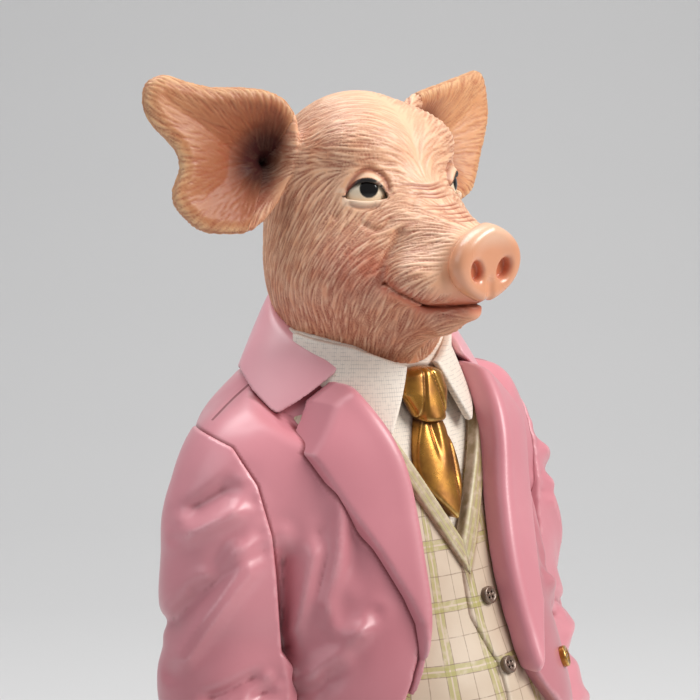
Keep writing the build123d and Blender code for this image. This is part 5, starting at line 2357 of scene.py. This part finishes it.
    def blade(self, p: Places) -> Array:
        """Signed distance to the tie's blade, with a pleat under the knot and a fold at its side.

        Args:
            p: Sample places.

        Returns:
            Signed distance.
        """
        right, left = smooth_line(self.blade_right, 4), smooth_line(self.blade_left, 4)
        flat = outline(p.x, p.z, np.vstack([right, left[1:]]))
        crown = 2.2 * np.clip(1.0 - (p.x / 8.0) ** 2, 0.0, 1.0)
        pleat = np.exp(-(((p.x + 0.6) / 1.1) ** 2)) * smooth_step(258.0, 270.0, p.z)
        turned = (p.x - 4.4 - 0.1 * (p.z - 260.0)) / 0.7
        side_fold = np.exp(-(turned**2)) * smooth_step(248.0, 256.0, p.z)
        sheet = self.torso.distance(p, 2.0) - crown + 1.2 * pleat + 0.6 * side_fold
        sheet = soft_meet(sheet, -self.torso.distance(p, -1.0), 0.4)
        return soft_meet(sheet, flat, 1.0)

    def leg(self, p: Places) -> Array:
        """Signed distance to the right trouser leg, with a pressed crease and a turn-up.

        Args:
            p: Sample places.

        Returns:
            Signed distance.
        """
        wide, deep = self.leg_half_width.at(p.z), self.leg_half_depth.at(p.z)
        x, y = p.x + self.leg_middle.at(p.z), p.y - self.leg_y
        cloth = (np.sqrt((x / wide) ** 2 + (y / deep) ** 2) - 1.0) * np.minimum(wide, deep)
        below = 1.0 - smooth_step(96.0, 116.0, p.z)
        cloth = cloth - 0.9 * np.exp(-((x / 1.3) ** 2)) * below
        cuffed = smooth_step(31.5, 30.5, p.z)
        cloth = cloth - 0.9 * cuffed
        for height, lean, rise in LEG_CREASES:
            wave = np.exp(-(((p.z - height - lean * x) / 2.6) ** 2))
            cloth = cloth - rise * wave * smooth_step(4.0, -10.0, y)
        return soft_meet(cloth, self.turnup_low - p.z, 1.0)

    def trousers(self, p: Places) -> Array:
        """Signed distance to the trousers, with filled slanted pockets and a fly seam.

        Args:
            p: Sample places.

        Returns:
            Signed distance.
        """
        folded = p.folded()
        seat = self.torso.distance(p, 0.3)
        seat = soft_meet(soft_meet(seat, p.z - self.waist, 1.0), self.seat_low - p.z, 5.0)
        cloth = soft_join(seat, soft_meet(self.leg(folded), p.z - self.leg_top, 2.0), 3.0)
        pouch = soft_cut(ball(folded, self.fist, self.fist_radii), self.cuff(folded) - 0.2, 0.8)
        cloth = soft_join(cloth, pouch, 7.0)
        front = smooth_step(-4.0, -12.0, p.y)
        fly = np.exp(-((p.x / 0.6) ** 2)) * front * smooth_step(118.0, 124.0, p.z)
        slant = folded.x + 34.0 + (p.z - 140.0) * 0.35
        pocket = np.exp(-((slant / 0.7) ** 2)) * smooth_step(118.0, 122.0, p.z)
        pocket = pocket * smooth_step(0.0, -6.0, p.y)
        back_seam = np.exp(-((p.x / 0.6) ** 2)) * smooth_step(6.0, 12.0, p.y)
        return cloth + 0.6 * fly + 0.7 * pocket + 0.6 * back_seam

    def button_field(self, p: Places, x: float, z: float, grow: float, radius: float) -> Array:
        """Signed distance to a button with a raised rim and four holes.

        Args:
            p: Sample places.
            x: The button's place across the front.
            z: Its height.
            grow: How far the cloth under it lies outside the body.
            radius: Half its width.

        Returns:
            The distance.
        """
        wide, deep, middle = (float(part.at(np.array([z]))[0]) for part in self.torso.layer(grow))
        y = middle - deep * math.sqrt(1.0 - (x / wide) ** 2)
        probe = np.array([[x, y, z], [x + 0.5, y, z], [x, y + 0.5, z], [x, y, z + 0.5]], dtype=np.float32)
        values = self.torso.distance(Places(*probe.T), grow)
        out = values[1:] - values[0]
        out /= np.linalg.norm(out)
        level = np.cross(np.array([0.0, 0.0, 1.0]), out)
        level /= np.linalg.norm(level)
        rise = np.cross(out, level)
        h, u, v = along_axes(p, (x, y, z), (out, level, rise))
        r = np.hypot(u, v)
        disc = soft_meet(r - radius, np.abs(h - 0.5) - 0.9, 0.6)
        disc = soft_join(disc, np.hypot(r - radius + 0.5, h - 1.2) - 0.42, 0.3)
        hole = np.hypot(np.abs(u) - 0.27 * radius, np.abs(v) - 0.27 * radius) - 0.13 * radius
        return soft_cut(disc, np.maximum(hole, 0.3 - h), 0.25)

    def vest_buttons(self) -> tuple[Shape, Triple, Triple]:
        """The row of vest buttons as one field, and the space that holds it.

        Returns:
            The field, and its low and high corners.
        """
        low, high = cad_box("vest_buttons")
        radius = (high[0] - low[0]) / 2
        x = (high[0] + low[0]) / 2
        heights = np.linspace(high[2] - radius, low[2] + radius, 4)

        def row(p: Places) -> Array:
            """All the buttons."""
            each = [self.button_field(p, x, float(z), self.vest_out + 1.0, radius) for z in heights]
            return np.minimum.reduce(each)

        return row, tuple(low - 3.0), tuple(high + 3.0)

    def jacket_button(self) -> tuple[Shape, Triple, Triple]:
        """The gold jacket button as a field, and the space that holds it.

        Returns:
            The field, and its low and high corners.
        """
        low, high = cad_box("jacket_button")
        x, z = (high[0] + low[0]) / 2, (high[2] + low[2]) / 2
        radius = (high[2] - low[2]) / 2

        def button(p: Places) -> Array:
            """The one button."""
            return self.button_field(p, x, z, self.jacket_out, radius)

        return button, tuple(low - 3.0), tuple(high + 3.0)

    def plaid(self, p: Places) -> dict[str, Array]:
        """The vest's cloth coordinates: round the body and up it."""
        return {"u": self.plaid_radius * np.arctan2(p.x, -p.y - 2.0), "v": p.z}

    def along_band(self, p: Places, side: Side) -> dict[str, Array]:
        """Cloth coordinates of a vest band: across it, with no cross stripes."""
        x = p.x if side is Side.RIGHT else -p.x
        return {"u": self.band_rise(x, p.z, side) * 0.46 + 2.05, "v": np.full(len(x), 4.4)}

    def painted_shade(self, p: Places) -> Array:
        """Painted shade on the jacket: deeper toward the waist, deepest beside the sleeves."""
        low = 0.30 * smooth_step(272.0, 218.0, p.z)
        beside = np.maximum(self.sleeves(p), 0.0)
        return low + 0.5 * np.exp(-((beside / 4.0) ** 2)) * (beside > 0.05) * smooth_step(246.0, 212.0, p.z)

    def faint(self, p: Places) -> Array:
        """Fainter painted shade for the right sleeve and lapel, deeper toward the waist."""
        return 0.24 * smooth_step(262.0, 208.0, p.z)

    def build(self, finishes: Finishes) -> None:
        """Makes every garment.

        Args:
            finishes: The figure's materials.
        """
        lapels = [lambda p, s=side: self.lapel(p.mirrored(s), s) for side in Side]
        self.make("jacket_cloth", self.jacket, (-62, -64, 118), (62, 46, 296), self.step, finishes.jacket,
                  "jacket", "jacket_body", beside=[*lapels, self.collar, self.sleeves],
                  seams=(SHOULDER_SEAM,), shade=self.painted_shade)
        self.make("jacket_collar_fall", self.collar, (-44, -38, 262), (44, 42, 316), 0.5, finishes.collar,
                  "jacket", "jacket_collar", beside=lapels)
        for side in Side:
            word = side.word
            flip = side is Side.LEFT
            # painted shade on the right sleeve and lapel only; the left ones get none
            shade = None if flip else self.faint
            self.make(f"{word}_lapel_fold", lambda p, s=side: self.lapel(p, s), (-46, -72, 200),
                      (-6, 4, 290), 0.5, finishes.jacket, "jacket", f"{word}_lapel", flip=flip,
                      beside=[self.collar], shade=shade)
            self.make(f"{word}_sleeve_cloth", self.sleeve, (-78, -58, 134), (-20, 26, 278), 0.6,
                      finishes.jacket, "jacket", f"{word}_sleeve", flip=flip, beside=[self.cuff],
                      shade=shade)
            self.make(f"{word}_shirt_cuff", self.cuff, (-62, -58, 128), (-26, -18, 172), 0.4,
                      finishes.shirt, "shirt", f"{word}_cuff", flip=flip, weave=self.plaid)
            self.make(f"{word}_shirt_leaf", self.leaf, (-32, -36, 264), (2, 4, 297), 0.36,
                      finishes.shirt, "shirt", f"shirt_collar_{word}_leaf", flip=flip, weave=self.plaid)
            self.make(f"vest_{word}_cloth", lambda p, s=side: self.vest(p, s), (-36, -66, 136),
                      (36, 4, 276), 0.55, finishes.vest, "vest", f"vest_{word}_front", weave=self.plaid,
                      beside=[*lapels, lambda p, s=side: self.vest_lapel(p, s)])
            self.make(f"vest_{word}_band", lambda p, s=side: self.vest_lapel(p, s), (-26, -56, 224),
                      (26, 4, 284), 0.45, finishes.vest_band, "vest", f"vest_{word}_lapel",
                      weave=lambda p, s=side: self.along_band(p, s), beside=lapels)
        bands = [lambda p, s=side: self.vest_lapel(p, s) for side in Side]
        self.make("shirt_front", self.shirt, (-46, -62, 212), (46, 40, 286), 0.7, finishes.shirt, "shirt",
                  "torso_core", weave=self.plaid, beside=[self.blade, self.knot, *bands])
        self.make("shirt_band", self.band, (-30, -30, 272), (30, 30, 306), 0.45, finishes.shirt, "shirt",
                  "shirt_collar_band", weave=self.plaid, beside=[self.knot])
        self.make("tie_knot_gold", self.knot, (-11, -40, 266), (11, -16, 288), 0.28, finishes.gold, "tie",
                  "tie_knot", beside=[self.blade])
        self.make("tie_blade_gold", self.blade, (-12, -48, 242), (12, -16, 276), 0.32, finishes.gold, "tie",
                  "tie_blade", beside=[self.knot])
        self.make("trouser_cloth", self.trousers, (-52, -64, 18), (52, 42, 175), 0.85, finishes.jacket,
                  "trousers", "trousers")
        self.make("vest_button_row", *self.vest_buttons(), 0.2, finishes.pewter, "button_dark",
                  "vest_buttons")
        self.make("gold_button", *self.jacket_button(), 0.2, finishes.gold, "button_gold", "jacket_button")

    def make(self, name: str, shape: Shape, low: Triple, high: Triple, step: float,
             material: bpy.types.Material, slot: str, *nodes: str, flip: bool = False,
             beside: Sequence[Shape] = (), seams: Sequence[Fold] = (), shade: Shape | None = None,
             weave: Callable[[Places], dict[str, Array]] | None = None) -> bpy.types.Object:
        """Sculpts one garment, lets a wash settle in its fine hollows and seams, paints shade into its broad
        hollows and along its neighbours, and dresses it.

        Args:
            name: Name of the piece.
            shape: Its distance field.
            low: Lowest corner of the space that holds it.
            high: Highest corner.
            step: Spacing of the samples.
            material: Its finish.
            slot: The record's material slot.
            nodes: CAD nodes that it stands for.
            flip: Whether the piece is carried over to the left side.
            beside: Fields of neighbours, along which painted shade is laid.
            seams: Seams that hold wash.
            shade: Painted shade, from 0 to 1.
            weave: Cloth coordinates for a woven pattern.

        Returns:
            The piece.
        """
        casting = sculpt(shape, low, high, step)
        p = Places(*casting.points.T)
        # near finds the fine hollows that hold the wash; far finds broad hollows, which get painted shade
        near = casting.relief(3) / step
        far = casting.relief(16)
        cut = np.maximum(smooth_step(0.06, 0.4, near), 0.55 * smooth_step(0.15, 1.0, far))
        rim = smooth_step(0.05, 0.35, -near)
        # painted shade along the neighbouring pieces
        for other in beside:
            cut = np.maximum(cut, 1.0 - smooth_step(0.1, 1.1, other(p)))
        # painted shade given by the caller
        if shade:
            cut = np.maximum(cut, shade(p))
        across, up, away = facing(p.folded())
        stitch = np.zeros(len(across))
        for seam in seams:
            near_line = np.clip(SEAM_REACH - line_gap(across, up, seam.line), 0.0, SEAM_REACH)
            stitch = np.maximum(stitch, near_line * CHEST_FOLDS.share(away))
        masks = {"cut": cut, "rim": rim, "seam": stitch}
        if weave:
            masks.update(weave(p))
        piece = place_casting(name, casting.mirrored() if flip else casting, masks)
        dress(piece, material, slot, *nodes)
        return piece


@dataclass
class Footwear:
    """One shoe with its sole and felt pad."""

    side: Side
    step: float = 0.6
    waist: float = 1.6
    toe_height: float = 12.5
    instep_back: float = 10.0
    instep_height: float = 17.0
    ankle_back: float = 15.0
    ankle_radii: tuple[float, float] = (12.4, 11.6)
    cap_ahead: float = 19.0
    laces: Sequence[float] = (-5.5, -1.5, 2.5)

    def box(self, piece: str) -> tuple[Array, Array]:
        """Low and high corners of one CAD piece, in millimetres from the body axis."""
        return cad_box(f"{self.side.word}_{piece}")

    def footprint(self, p: Places, low: Array, high: Array) -> Array:
        """Distance in plan to a sole with a narrow waist.

        Args:
            p: Sample places.
            low: Low corner of the piece.
            high: High corner of the piece.

        Returns:
            The distance.
        """
        half = (high - low) / 2
        x = p.x - (low[0] + high[0]) / 2
        y = p.y - (low[1] + high[1]) / 2
        draw = self.waist * np.exp(-(((y - 8.0) / 12.0) ** 2))
        gap = np.hypot(x, np.maximum(np.abs(y) - half[1] + half[0], 0.0))
        return gap - half[0] + draw

    def sole(self, p: Places) -> Array:
        """Signed distance to the sole, with a welt line and a heel block.

        Args:
            p: Sample places.

        Returns:
            Signed distance.
        """
        low, high = self.box("sole")
        edge = self.footprint(p, low, high)
        edge = edge + 0.4 * np.exp(-(((p.z - high[2] + 1.5) / 0.4) ** 2))
        slab = soft_meet(edge, np.abs(p.z - (low[2] + high[2]) / 2) - (high[2] - low[2]) / 2, 0.7)
        arch = np.maximum(np.abs(p.y - (low[1] + high[1]) / 2 - 9.0) - 7.0, p.z - low[2] - 1.2)
        return soft_cut(slab, arch, 0.6)

    def pad(self, p: Places) -> Array:
        """Signed distance to the felt pad, with a slightly uneven edge."""
        low, high = self.box("felt_pad")
        edge = self.footprint(p, low, high) + 0.15 * np.sin(p.y * 2.1) * np.sin(p.x * 1.7)
        return soft_meet(edge, np.abs(p.z - (low[2] + high[2]) / 2) - (high[2] - low[2]) / 2, 0.4)

    def upper(self, p: Places) -> Array:
        """Signed distance to the shoe's upper, with a toe cap, a quarter seam and laces.

        Args:
            p: Sample places.

        Returns:
            Signed distance.
        """
        low, high = self.box("shoe")
        x0 = float(low[0] + high[0]) / 2
        y0 = float(low[1] + high[1]) / 2
        base, top = float(low[2]), float(high[2])
        x = p.x - x0
        half = (high - low) / 2
        form = ball(p, (x0, y0, base), (float(half[0]), float(half[1]), self.toe_height))
        instep_radii = (float(half[0]) - 0.6, 25.0, self.instep_height)
        instep = ball(p, (x0, y0 + self.instep_back, base), instep_radii)
        back = y0 + self.ankle_back
        drawn = Places(p.x, (p.y - y0 - self.ankle_back) * 0.72 + y0 + self.ankle_back, p.z)
        ankle = limb(drawn, (x0, back, base + 4.0), (x0, back, top + 3.0), *self.ankle_radii)
        form = soft_join(soft_join(form, instep, 5.0), ankle, 5.0)
        cap = p.y - y0 + self.cap_ahead - 0.02 * x**2
        form = form + 0.45 * np.exp(-((cap / 0.5) ** 2)) - 0.35 * smooth_step(0.6, -0.6, cap)
        quarter = p.y - y0 - 1.0 + 0.06 * x**2 - 0.5 * (p.z - base)
        form = form + 0.4 * np.exp(-((quarter / 0.5) ** 2))
        for place in self.laces:
            lace = np.hypot(p.y - y0 - place, (form + 0.2)) - 0.75
            form = soft_join(form, np.maximum(lace, np.maximum(np.abs(x) - 5.0, base + 6.0 - p.z)), 0.5)
        return soft_meet(soft_meet(form, base - p.z, 0.4), p.z - top, 0.6)

    def build(self, suit: Suit, finishes: Finishes) -> None:
        """Makes the shoe, its sole and its pad.

        Args:
            suit: Sculpts and dresses a piece.
            finishes: The figure's materials.
        """
        pieces = {
            "shoe": (self.upper, finishes.shoe, "shoe"),
            "sole": (self.sole, finishes.sole, "sole"),
            "felt_pad": (self.pad, finishes.felt, "felt"),
        }
        for piece, (shape, material, slot) in pieces.items():
            low, high = self.box(piece)
            margin = 2.0 + 0.5 * self.step
            suit.make(f"{self.side.word}_{piece}_form", shape, tuple(low - margin), tuple(high + margin),
                      self.step, material, slot, f"{self.side.word}_{piece}")


def main() -> None:
    """Builds the figure and its studio."""
    logging.basicConfig(level=logging.INFO, format="%(message)s")
    finishes = Finishes()
    Head().build(finishes)
    SnoutPad().build(finishes)
    suit = Suit()
    suit.build(finishes)
    for side in Side:
        Footwear(side).build(suit, finishes)
    plain = {"neck_dowel": finishes.wood}
    for side in Side:
        plain[f"{side.word}_leg_rod"] = finishes.steel
        plain[f"{side.word}_shoulder_dowel"] = finishes.steel
    for node, material in plain.items():
        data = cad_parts[node].data
        data.materials.clear()
        data.materials.append(material)
    Studio().build()


if __name__ == "__main__":
    main()
